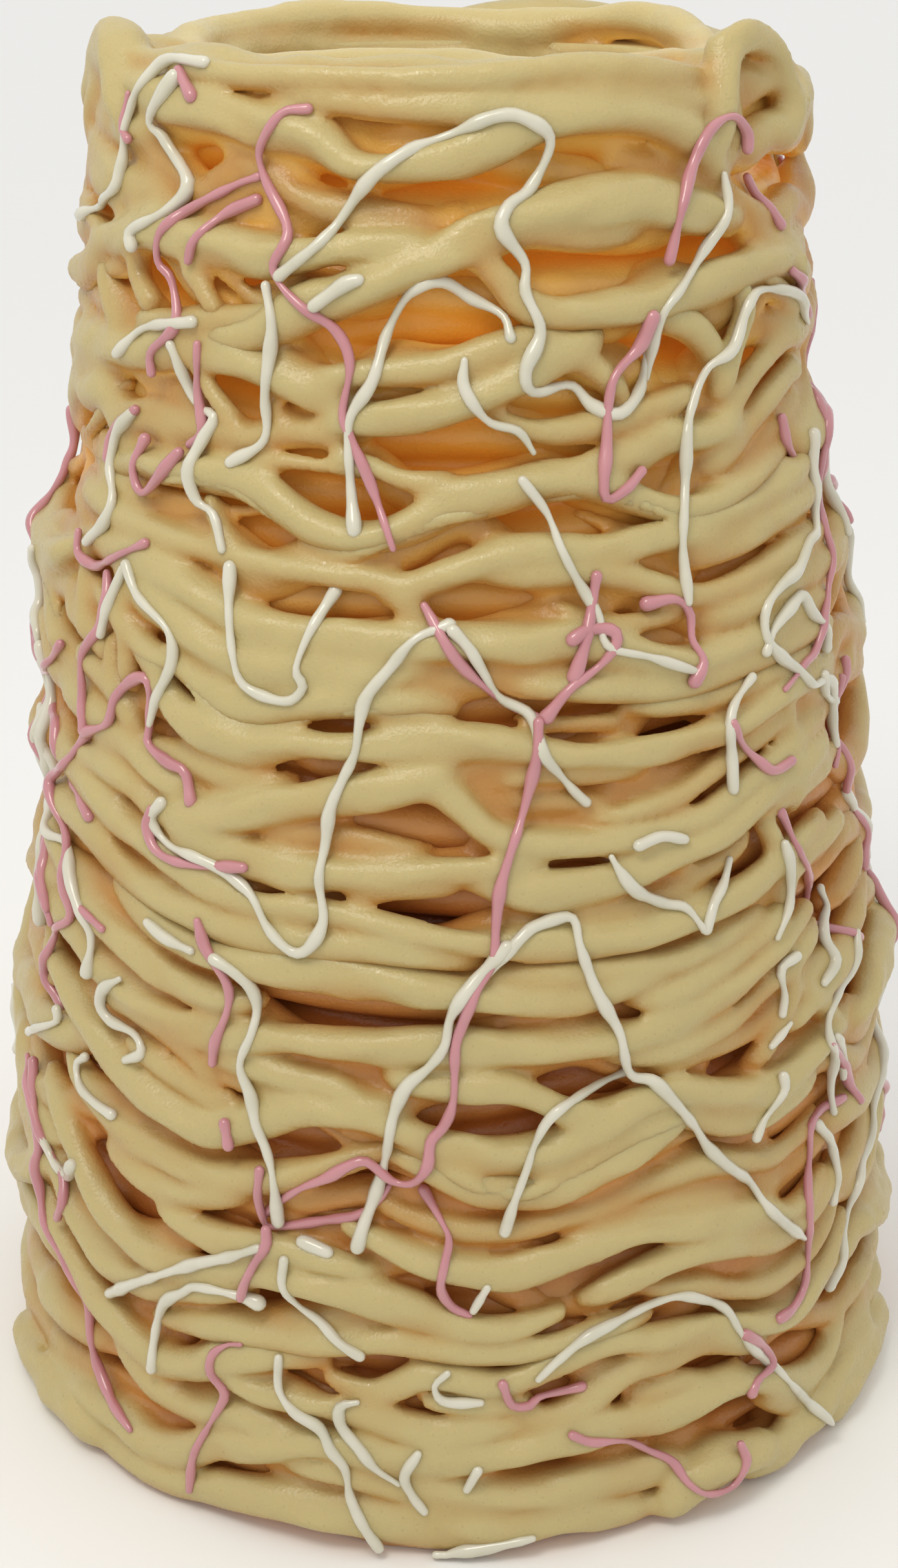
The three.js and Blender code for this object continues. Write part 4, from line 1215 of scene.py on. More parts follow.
@dataclass
class InnerWall:
    """The wall behind the outer threads: older threads fused together, and the smooth bore.

    Attributes:
        rows: rings of older threads.
        thread: their radius.
        sunk: how far their middles lie below the tower's outside.
        wander: how much deeper a ring may go.
        waves: waves in a ring's height: count in a turn and size.
        pit: how far the deepest pits between them go below the outside.
        blend: how softly two rings run together.
        top: the wall's height, below the threads on the rim.
    """

    form: TowerForm
    draw: Draw
    rows: int = 30
    thread: float = 4.6
    sunk: float = 10.6
    wander: float = 3.6
    waves: tuple[tuple[int, float], ...] = ((2, 2.6), (3, 2.4), (5, 1.6))
    pit: float = 19.0
    blend: float = 1.6
    top: float = 294.0
    columns: int = 256
    outer_steps: int = 236
    bore_steps: int = 84
    bore_pitch: float = 10.5
    bore_groove: float = 1.3

    def outer_radii(self, angle: np.ndarray, z: np.ndarray) -> np.ndarray:
        """The radius of the older threads' skin.

        Args:
            angle: degrees round the tower.
            z: heights.

        Returns:
            A row for each height and a column for each angle.
        """
        skin = np.zeros((len(z), len(angle)))
        floor = (self.form.outer_radius(z) - self.pit)[:, None]
        turn = np.radians(angle)[None, :]
        level = z[:, None]
        for row in range(self.rows):
            start = self.thread - 0.4 + (self.top - 3 - self.thread) * row / (self.rows - 1)
            line = np.full_like(turn, start)
            for count, size in self.waves:
                line = line + size * np.sin(count * turn + math.tau * self.draw())
            line = np.clip(line, 2.0, self.top - 2)
            dip = self.wander * (0.5 + 0.5 * np.sin((2 + row % 3) * turn + math.tau * self.draw()))
            centre = self.form.outer_radius(line) - self.sunk - dip
            away = np.abs(level - line) / self.thread
            # Past nine tenths of its radius, the thread's round section goes on as a straight slope.
            section = np.sqrt(np.clip(1 - away**2, 0, 1))
            ridge = centre + self.thread * np.where(away < 0.9, section, 0.436 - 2.06 * (away - 0.9))
            lead = np.clip(0.5 + (ridge - skin) / (2 * self.blend), 0, 1)
            skin = skin + (ridge - skin) * lead + self.blend * lead * (1 - lead)
        return np.maximum(skin, floor)

    def bore_radii(self, angle: np.ndarray, z: np.ndarray) -> np.ndarray:
        """The radius of the bore, with fine grooves between the threads pressed on the cone.

        Args:
            angle: degrees round the tower.
            z: heights.

        Returns:
            A row for each height and a column for each angle.
        """
        turn = np.radians(angle)[None, :]
        wave = 2.2 * np.sin(2 * turn + 1.1) + 1.2 * np.sin(5 * turn + 0.4)
        apart = ((z[:, None] + wave) / self.bore_pitch) % 1 - 0.5
        groove = self.bore_groove * np.exp(-((apart * self.bore_pitch / 1.5) ** 2))
        return self.form.bore_radius(z)[:, None] + groove

    def make(self, name: str, material: bpy.types.Material) -> bpy.types.Object:
        """Builds the wall.

        Args:
            name: the piece's name.
            material: the batter's material.

        Returns:
            The wall as one closed mesh, in metres.
        """
        angle = np.arange(self.columns) * 360 / self.columns
        up = np.linspace(0, self.top, self.outer_steps)
        down = np.linspace(self.top, 0, self.bore_steps)
        radii = np.vstack([self.outer_radii(angle, up), self.bore_radii(angle, down)])
        z = np.concatenate([up, down])
        points = place(angle[None, :], radii, z[:, None]).reshape(-1, 3) * MM
        near = np.arange(len(z))[:, None] * self.columns + np.arange(self.columns)[None, :]
        far = np.roll(near, -1, axis=1)
        quads = np.stack([near, far, np.roll(far, -1, axis=0), np.roll(near, -1, axis=0)], -1)
        piece = plain_mesh(name, points, quads.reshape(-1, 4))
        piece.data.materials.append(material)
        return piece


def plain_mesh(name: str, points: np.ndarray, faces: np.ndarray) -> bpy.types.Object:
    """Makes a smooth-shaded object.

    Args:
        name: its name.
        points: its points in metres, one a row.
        faces: the points of each face, in order.

    Returns:
        The object.
    """
    mesh = bpy.data.meshes.new(name)
    mesh.from_pydata(points.tolist(), [], faces.tolist())
    mesh.shade_smooth()
    piece = bpy.data.objects.new(name, mesh)
    bpy.context.scene.collection.objects.link(piece)
    return piece


def mark_depth(piece: bpy.types.Object, form: TowerForm) -> None:
    """Writes the attributes depth, in millimetres, and painted_glow.

    Depth counts from the nearest of the outside, the top and the bore. The material turns it into
    colour, pale at the outside and browner inside: in part the older batter's own colour, for the
    most part painted shade in the recesses. painted_glow drives an emission, a painted glow for
    light that comes through the wall from behind: most in the gaps near the top.

    Args:
        piece: an object whose mesh gets the attributes.
        form: the tower's form.
    """
    mesh = piece.data
    points = np.empty(3 * len(mesh.vertices), np.float32)
    mesh.vertices.foreach_get("co", points)
    x, y, z = points.reshape(-1, 3).T / MM
    radius = np.hypot(x, y)
    from_outside = form.outer_radius(z) - radius
    # Painted light and shade in the bore: pale just under the rim and browner further down, partly the
    # batter's browning on the hot cone.
    from_bore = radius - form.bore_radius(z) + 1 + 6 * smoothstep(form.height - z, 14, 90)
    depth = np.minimum.reduce([from_outside, form.height - z, from_bore])
    # Painted glow: emission in the gaps, stronger near the top, strongest inside the wall under the rim.
    rim_inside = smoothstep(from_outside, 12, 20) * smoothstep(z, 262, 288)
    painted_glow = np.maximum(smoothstep(depth, 4, 13) * (0.4 + 0.6 * smoothstep(z, 120, 260)), 1.2 * rim_inside)
    for name, values in (("depth", depth), ("painted_glow", painted_glow)):
        mesh.attributes.new(name, "FLOAT", "POINT").data.foreach_set("value", values.astype(np.float32))


# ---- The icing ----


class Icing(Enum):
    """The two icings."""

    WHITE = "icing_white"
    PINK = "icing_pink"


# Pink lines, read from the photograph as angle and height: the top, the middle, the foot.
PINK_LINES: list[Route] = [
    [(-20, 291), (-24, 290), (-27, 284), (-26, 279), (-22, 270), (-24, 263), (-20, 257), (-15, 253),
     (-13, 247), (-14, 238), (-13, 234), (-10, 225), (-7, 214)],
    [(-27, 279), (-31, 277), (-40, 271), (-44, 267), (-44, 262), (-41, 259), (-40, 251), (-45, 245),
     (-45, 241)],
    [(-27, 275), (-32, 272), (-37, 267), (-38, 263)],
    [(-43, 296), (-40, 292)],
    [(-56, 291), (-57, 285), (-55, 283)],
    [(-36, 248), (-36, 240), (-35, 232), (-37, 229)],
    [(48, 282), (48, 285), (45, 288), (40, 286), (36, 280), (34, 274), (31, 264)],
    [(49, 277), (55, 271), (58, 267)],
    [(58, 258), (65, 253), (70, 247)],
    [(28, 254), (26, 249), (22, 243), (21, 231), (20.5, 222), (23.5, 223), (26, 226)],
    [(-46, 228), (-48, 222), (-45, 218), (-41, 224), (-39, 227)],
    [(-49, 233), (-53, 230), (-56, 226), (-56, 222)],
    [(-60, 206), (-59, 202), (-55, 201), (-51, 203), (-47, 206), (-43, 209)],
    [(55, 230), (56, 225), (58, 222)],
    [(-3, 204), (1, 194), (6, 187), (11, 182.5)],
    [(18.5, 208), (17.5, 202), (16.5, 196), (15, 190)],
    [(15, 197), (17, 198.5), (20, 198), (20.5, 195.5), (18.5, 192), (14.5, 188), (11.5, 183)],
    [(10.5, 182), (10.3, 176), (9.3, 169.5), (8, 162), (7, 157), (5.8, 150), (5.3, 142.5), (5, 135.5),
     (3, 129.5), (1.5, 123), (0.7, 118), (0.5, 107.5), (-0.5, 102), (-2, 98.5), (-2.4, 93), (-4, 89.3),
     (-6.2, 89.5), (-8, 92), (-9.5, 93.5), (-11.4, 92), (-13.7, 89), (-17.5, 85), (-21, 79)],
    [(-21.8, 88), (-22, 82), (-21.3, 77.5), (-20.5, 76), (-17.5, 77.5), (-13.5, 79.8), (-10.2, 81.5),
     (-7.8, 85), (-6.7, 88.5)],
    [(-2.8, 88), (-0.8, 81), (0, 77), (-0.5, 71.5), (-0.9, 66), (0.3, 62), (2.2, 60)],
    [(-21, 75), (-21, 71.5), (-22.5, 66.5), (-23.7, 61.5), (-24.2, 58)],
    [(-50.5, 201), (-49.5, 197), (-50.5, 190), (-54, 183), (-53.5, 175), (-52.5, 168)],
    [(-52, 168), (-47, 172), (-45.5, 178), (-42, 183), (-39.5, 183), (-39, 175), (-39, 171),
     (-35.5, 168.5), (-33, 167.5), (-32, 162)],
    [(-52, 168), (-57, 159), (-62, 153), (-60, 149), (-56.5, 144), (-55, 133), (-53.5, 127), (-58, 121),
     (-60, 115), (-61.5, 108), (-58, 104)],
    [(-50.5, 131), (-46, 129)],
    [(-62, 182), (-66, 176), (-72, 172), (-80, 168)],
    [(-38, 158), (-38.5, 154), (-37, 150), (-33, 149), (-27, 150.5), (-24.5, 151)],
    [(-30.5, 138), (-29.3, 133), (-27.5, 129.5), (-26, 125.5), (-26.2, 120.5), (-27.7, 113.5),
     (-28, 109)],
    [(-26.3, 96.5), (-25.8, 92)],
    [(25, 202), (29, 202), (31, 199), (31, 194), (32.5, 189.5), (31, 186)],
    [(36.5, 176), (38, 171), (40.5, 167), (43, 164), (46.5, 164.5)],
    [(44, 155), (45, 152), (47, 146), (49.5, 140), (53, 132), (55.5, 126), (58, 123), (65, 115),
     (68, 111)],
    [(66, 173), (66, 166), (62.5, 161), (60, 157)],
    [(59, 81), (52, 83), (49, 82), (48.8, 77), (48, 69), (48, 61), (48, 52), (47.5, 45), (45, 41.5),
     (42.5, 41)],
    [(-66, 84), (-63.5, 76), (-62, 68), (-62, 60), (-59.5, 52), (-57, 46), (-50, 39), (-49, 32),
     (-48, 26), (-46, 22), (-44, 18), (-41, 14)],
    [(-24.3, 47), (-26, 46), (-28, 42.5), (-28.3, 38), (-26.5, 34.5), (-26.8, 31.5), (-29, 23.5),
     (-31, 15.5), (-31.8, 6)],
    [(36.8, 41.5), (39.7, 36.5), (41.5, 30.5), (39, 28.5), (38, 26)],
    [(6, 43.5), (7, 38.5), (9, 38), (10.3, 40), (15, 41)],
    [(14, 29.5), (16.3, 27), (20.5, 25.5), (23.5, 21.5), (26.5, 17), (28.8, 10), (31.7, 5), (35.5, 4),
     (37.5, 8.5), (36.5, 14)],
]
# White lines, read likewise, from the top to the foot.
WHITE_LINES: list[Route] = [
    [(-23, 262), (-16, 270), (-11, 279), (-6, 284), (0, 287), (6, 290), (10, 290), (14, 286), (11, 278),
     (8, 275), (7, 271), (10, 265), (10, 260), (12, 253), (10, 246), (11, 242), (16, 243), (19, 239),
     (23, 237), (26, 241), (27, 248)],
    [(42, 278), (42, 271), (37, 265), (33, 259), (29, 253), (27, 243)],
    [(-25, 260), (-24, 252), (-25, 241), (-25, 232), (-30, 227)],
    [(8, 252), (7, 256), (3, 259), (-1, 262), (-5, 260), (-8, 253), (-10, 244), (-13, 237), (-13, 229),
     (-12, 217)],
    [(2, 248), (2, 243), (5, 237), (9, 235), (11, 231)],
    [(-18, 257), (-14, 261), (-12, 262)],
    [(67, 246), (60, 253), (49, 256), (45, 253), (42, 246), (37, 243), (34, 235), (33, 226), (32, 218),
     (31, 210), (31, 201)],
    [(-38, 298), (-46, 298), (-51, 294), (-56, 286), (-57, 278), (-59, 273), (-73, 266)],
    [(-44, 295), (-49, 287), (-45, 284), (-39, 277), (-42, 272), (-50, 267), (-50, 264)],
    [(-37, 252), (-47, 249), (-53, 243)],
    [(-41, 247), (-36, 237), (-33, 235), (-35, 230), (-37, 224), (-35, 219), (-32, 217), (-30, 211)],
    [(-50, 232), (-54, 227), (-55, 221), (-52, 215), (-53, 210), (-57, 205)],
    [(9.5, 226), (12.5, 220), (14, 214), (15.5, 209), (17.5, 203.5), (18.5, 200), (19.5, 195), (25, 192),
     (31, 188)],
    [(0, 200.5), (-4, 198), (-7, 192.5), (-9.7, 187), (-10.5, 182), (-11, 176), (-12.5, 170.5),
     (-13.8, 165), (-14.3, 158), (-15, 151), (-14.4, 143), (-15.8, 137.5), (-17.5, 135.5), (-19.5, 137),
     (-21.5, 140.5), (-23.5, 146), (-27, 149.5), (-31, 151), (-35, 152), (-38, 156), (-36.5, 160)],
    [(0.5, 199.5), (2.5, 196), (4, 192), (6, 187), (9.5, 183.5), (11, 176), (12.8, 172), (14.8, 168),
     (16, 166)],
    [(-28.5, 208), (-28, 200), (-27, 192), (-25.5, 187), (-22, 185), (-19, 185), (-17.5, 188),
     (-18.5, 191), (-17, 198), (-14, 206)],
    [(-46, 204), (-43, 199), (-37, 194), (-36, 188), (-38, 181), (-39, 175)],
    [(-46.5, 203), (-48.5, 196), (-50, 189)],
    [(43, 188), (45, 192), (48.5, 194.5), (52, 196), (54, 192), (58, 187), (58, 183)],
    [(56, 178), (57, 174), (62, 170)],
    [(40, 184), (37, 180), (36, 176), (36, 170), (36, 163)],
    [(22.5, 156), (25.5, 157), (28.5, 155.5)],
    [(19, 154.5), (20, 151.5), (22, 147), (25.5, 143.5), (28.5, 141.5), (31, 136)],
    [(35, 149), (34, 144.5), (32.5, 141), (31.3, 136)],
    [(-38, 134.5), (-35, 132.5), (-31.3, 131.5)],
    [(-28, 131), (-25, 129), (-23, 126.5), (-22.3, 122.5), (-23, 117), (-24.4, 110), (-23, 104),
     (-22.3, 98), (-21, 93), (-20.2, 87.5), (-19.5, 77.5)],
    [(-42.5, 120), (-45.5, 116), (-46, 112), (-44, 110), (-39.7, 109.5), (-38.5, 106), (-41, 103)],
    [(-56.5, 104), (-56.5, 101), (-64, 93)],
    [(-49.5, 98), (-51.3, 95), (-50, 91), (-47, 89.5), (-43.5, 89)],
    [(-61.5, 70), (-58.5, 66), (-54, 66), (-51.5, 71)],
    [(4.5, 133), (8, 140), (10, 142.5), (14, 143.5), (15, 137.5), (16.5, 129.5), (18, 124), (19.7, 118),
     (20.8, 109.5), (23.6, 107), (26.3, 101.5), (29, 95), (31, 89), (34, 83), (37, 78), (39.6, 71),
     (43, 64), (47, 57)],
    [(20, 110), (16.5, 108), (11.7, 103), (9.7, 97.5), (8.6, 91.5), (7.2, 84.5), (6.2, 78.5)],
    [(6.5, 138.5), (3, 132), (0.3, 125), (-0.5, 118.5), (-2.3, 114), (-4.7, 110), (-6.2, 103.5), (-7, 95),
     (-8, 87.5), (-9.5, 79.5), (-10.2, 74.5)],
    [(44.5, 148), (45.3, 143), (45, 135), (42.5, 129)],
    [(46, 123), (43, 122), (43.5, 116), (43, 112)],
    [(44.5, 109), (41, 106)],
    [(54.5, 99), (57.5, 93.5), (59, 86)],
    [(43, 98), (43, 94.5), (39.7, 90.5), (38.3, 87)],
    [(51, 81), (55, 72.5), (55.3, 66), (54, 60)],
    [(58, 131), (59, 126), (55, 123), (56, 116), (52.5, 113)],
    [(-44, 46), (-39.5, 52), (-34.5, 58), (-30, 63), (-25.5, 67), (-22, 70.5)],
    [(-16.5, 74), (-13.7, 72.5)],
    [(-37, 33), (-36.5, 40), (-35, 50), (-32, 55), (-30, 57.5), (-24.5, 58.5), (-22, 58)],
    [(-18.8, 69), (-19, 63), (-17.3, 59.5), (-14.6, 56.5), (-12.3, 52), (-10, 49.5)],
    [(-19.5, 46), (-19.5, 38.5), (-17.8, 34), (-14.7, 31), (-13.4, 26), (-11.8, 22), (-11.2, 15),
     (-9.7, 8), (-8, 3)],
    [(-10.3, 38.5), (-12.2, 37), (-12.2, 32.5), (-10.2, 27.5), (-8.4, 23), (-5.7, 19.5)],
    [(-3.5, 27), (-5, 21.5), (-4.2, 17), (-2.8, 13)],
    [(3.2, 23), (2, 18.5)],
    [(4.2, 66), (2.7, 61)],
    [(-0.2, 46.5), (-1.6, 43.5), (-0.6, 40), (3.5, 39.5)],
    [(9.5, 5), (4, 3.5), (0.5, 2.5), (-1.5, 0.8)],
    [(10, 44), (12.3, 48), (15.5, 52.3), (19.5, 55), (23.3, 57), (27, 57), (30.8, 54), (33.8, 49.5),
     (36, 42.5), (38.3, 36.5), (42, 29), (46, 20), (50, 11), (53, 4)],
]


def icing_tree() -> bpy.types.NodeTree:
    """The tree that sweeps a round icing line along each path, as thick as the path says.

    Returns:
        The tree.
    """
    tree, given = new_tree("icing_lines", {
        "Material": ("NodeSocketMaterial", None),
        "Sides": ("NodeSocketInt", 9),
    })
    thick = add_node(tree, "GeometryNodeInputNamedAttribute", {"data_type": "FLOAT"}, name="thick").outputs[0]
    path = add_node(tree, "GeometryNodeMeshToCurve", mesh=given["Geometry"])
    section = add_node(tree, "GeometryNodeCurvePrimitiveCircle", resolution=given["Sides"], radius=1.0)
    swept = add_node(tree, "GeometryNodeCurveToMesh", curve=path.outputs[0], profile_curve=section.outputs[0],
                     scale=thick, fill_caps=True)
    finish_tree(tree, swept.outputs[0], given["Material"])
    return tree


@dataclass
class IcingDrizzle:
    """One colour of icing: thin lines that drape over the threads.

    Attributes:
        roll: the radius of a ball that rolls along the batter. A line bridges what it can't touch.
        lift: how far a line's middle stands off the batter, as a share of its radius.
        back_off: how far outside the tower the rays start.
        wobbles: waves in a line's thickness: length, and share of the radius.
    """

    form: TowerForm
    icing: Icing
    routes: list[Route]
    draw: Draw
    radius: float = 1.08
    step: float = 1.3
    roll: float = 9.0
    lift: float = 0.45
    back_off: float = 30.0
    deepest: float = -14.0
    highest: float = 6.0
    wobbles: tuple[tuple[float, float], ...] = ((27, 0.2), (12, 0.13), (6, 0.06))

    def drape(self, route: Route, trees: list[BVHTree]) -> np.ndarray:
        """Lays a line on the batter, where it follows the threads and bridges the grooves.

        Args:
            route: its turning points.
            trees: the batter's surfaces.

        Returns:
            Its points in millimetres, one a row.
        """
        angle, z = self.form.smooth_run(route, self.step).T
        nominal = place(angle, self.form.outer_radius(z), z)
        aim = self.aims(nominal, angle)
        out = self.bridge(self.reach(nominal, aim, trees), nominal)
        points = nominal - aim * (out + self.lift * self.radius)[:, None]
        points[:, 2] = np.maximum(points[:, 2], 1.5 * self.radius)
        return points

    def aims(self, nominal: np.ndarray, angle: np.ndarray) -> np.ndarray:
        """Which way rays go at the batter.

        Args:
            nominal: points on the tower's smooth outside.
            angle: their degrees round the tower.

        Returns:
            A unit vector for each point. On the front it is the line of sight along which the
            routes were read, and past it, inwards and a little down.
        """
        sight = nominal - np.array(VIEWPOINT)
        sight /= np.linalg.norm(sight, axis=1)[:, None]
        inward = place(angle, -np.cos(0.25), -np.sin(0.25))
        share = smoothstep(np.abs(half_turn(angle)), 42, 66)[:, None]
        aim = sight * (1 - share) + inward * share
        return aim / np.linalg.norm(aim, axis=1)[:, None]

    def reach(self, nominal: np.ndarray, aim: np.ndarray, trees: list[BVHTree]) -> np.ndarray:
        """How far out of the smooth outside the batter stands, along each ray.

        Args:
            nominal: points on the tower's smooth outside.
            aim: the way of the ray through each.
            trees: the batter's surfaces.

        Returns:
            The distances in millimetres. A ray that meets nothing takes its neighbours' value.
        """
        start = (nominal - self.back_off * aim) * MM
        longest = 3 * self.back_off * MM
        out = np.full(len(aim), np.nan)
        for i, (point, way) in enumerate(zip(start, aim)):
            casts = [tree.ray_cast(Vector(point), Vector(way), longest)[3] for tree in trees]
            hits = [cast / MM for cast in casts if cast is not None]
            if hits:
                out[i] = self.back_off - min(hits)
        good = np.isfinite(out)
        if not good.any():
            return np.zeros(len(out))
        out = np.interp(np.arange(len(out)), np.flatnonzero(good), out[good])
        return np.clip(out, self.deepest, self.highest)

    def bridge(self, out: np.ndarray, nominal: np.ndarray) -> np.ndarray:
        """Carries a line over narrow grooves.

        Args:
            out: how far out the batter stands at each point.
            nominal: the points.

        Returns:
            How far out the line lies at each point.
        """
        apart = np.linalg.norm(nominal[:, None] - nominal[None, :], axis=2) ** 2 / (2 * self.roll)
        raised = (out[None, :] - apart).max(axis=1)
        closed = (raised[None, :] + apart).min(axis=1)
        kernel = np.array([1, 2, 3, 2, 1]) / 9
        return np.convolve(np.pad(closed, 2, mode="edge"), kernel, "valid")

    def thickness(self, points: np.ndarray) -> Thread:
        """Gives a line uneven thickness and round ends.

        Args:
            points: the line's points.

        Returns:
            The line, with some points added at its ends.
        """
        along = along_line(points)
        uneven = np.ones(len(points))
        for length, size in self.wobbles:
            uneven += size * np.sin(math.tau * (along / length + self.draw()))
        from_end = np.minimum(along, along[-1] - along)
        swell = self.draw.between(-0.3, 0.35) * np.exp(-((from_end / 3.6) ** 2))
        radius = self.radius * self.draw.between(0.85, 1.15) * (uneven + swell)
        turn = np.radians(np.array([82, 58, 30]))
        head = points[0] - points[1]
        tail = points[-1] - points[-2]
        head, tail = head / np.linalg.norm(head), tail / np.linalg.norm(tail)
        front = points[0] + radius[0] * np.sin(turn)[:, None] * head
        back = points[-1] + radius[-1] * np.sin(turn[::-1])[:, None] * tail
        rounded = [radius[0] * np.cos(turn), radius, radius[-1] * np.cos(turn[::-1])]
        return Thread(np.vstack([front, points, back]), np.concatenate(rounded))

    def make(self, trees: list[BVHTree], tree: bpy.types.NodeTree,
             material: bpy.types.Material) -> bpy.types.Object:
        """Builds all lines of this icing.

        Args:
            trees: the batter's surfaces.
            tree: the tree from icing_tree.
            material: the icing's material.

        Returns:
            The lines as one mesh.
        """
        lines = [self.thickness(self.drape(route, trees)) for route in self.routes]
        return run_tree(lines_object(self.icing.value, lines), tree, {"Material": material})


def wandering_routes(draw: Draw, count: int) -> list[Route]:
    """Icing lines by rule for the sides and the back, in the front's manner.

    Args:
        draw: the random numbers.
        count: how many lines.

    Returns:
        The lines' turning points. Some lines have a fork, which is a line of its own.
    """
    routes = []
    for i in range(count):
        angle = 66 + 228 * (i * GOLDEN % 1) + draw.between(-6, 6)
        z = draw.between(40, 292)
        heading = draw.between(-60, 60)
        length = draw.between(25, 110)
        route = [(angle, z)]
        while length > 0:
            heading = max(-115, min(115, heading + draw.between(-48, 48) - 0.25 * heading))
            stride = draw.between(5, 8.5)
            angle += math.degrees(stride * math.sin(math.radians(heading)) / 92)
            z -= stride * math.cos(math.radians(heading))
            length -= stride
            if not 3 < z < 296:
                break
            route.append((angle, z))
        if len(route) > 2:
            routes.append(route)
        if len(route) > 6 and draw() < 0.6:
            fork, (angle, z) = draw.between(-7, 7), route[len(route) // 2]
            side = 1 if fork > 0 else -1
            routes.append([(angle, z), (angle + 3 * side, z - 5),
                           (angle + 5 * side + 0.4 * fork, z - 12),
                           (angle + 5 * side + fork, max(3, z - 21))])
    return routes


# ---- Finishes ----


def linear(code: str) -> tuple[float, float, float, float]:
    """A colour's linear values from its sRGB hex code."""
    parts = [int(code[i:i + 2], 16) / 255 for i in (1, 3, 5)]
    return (*(c / 12.92 if c <= 0.04045 else ((c + 0.055) / 1.055) ** 2.4 for c in parts), 1.0)


def new_material(name: str) -> tuple[bpy.types.Material, bpy.types.NodeTree, bpy.types.Node]:
    """An empty material, with its tree and its shader."""
    material = bpy.data.materials.new(name)
    material.use_nodes = True
    return material, material.node_tree, material.node_tree.nodes["Principled BSDF"]


def surface_noise(tree: bpy.types.NodeTree, length: float, detail: float) -> bpy.types.NodeSocket:
    """Noise over an object, with features of a length in millimetres."""
    where = add_node(tree, "ShaderNodeTexCoord").outputs["Object"]
    scale = 1 / (length * MM)
    return add_node(tree, "ShaderNodeTexNoise", vector=where, scale=scale, detail=detail).outputs[0]


def add_relief(tree: bpy.types.NodeTree, shader: bpy.types.Node, height: bpy.types.NodeSocket,
               strength: float, distance: float) -> None:
    """Adds fine relief to a shader: its height, its strength, and its depth in millimetres."""
    bump = add_node(tree, "ShaderNodeBump", strength=strength, distance=distance * MM, height=height)
    tree.links.new(bump.outputs[0], shader.inputs["Normal"])


def add_ramp(tree: bpy.types.NodeTree, factor: bpy.types.NodeSocket,
             stops: list[tuple[float, str]]) -> bpy.types.NodeSocket:
    """Adds a colour ramp.

    Args:
        tree: the material's tree.
        factor: what drives it.
        stops: its stops, each a place and a hex colour.

    Returns:
        Its colour.
    """
    ramp = add_node(tree, "ShaderNodeValToRGB", fac=factor)
    elements = ramp.color_ramp.elements
    while len(elements) < len(stops):
        elements.new(0.5)
    for element, (at, code) in zip(elements, stops):
        element.position = at
        element.color = linear(code)
    return ramp.outputs[0]


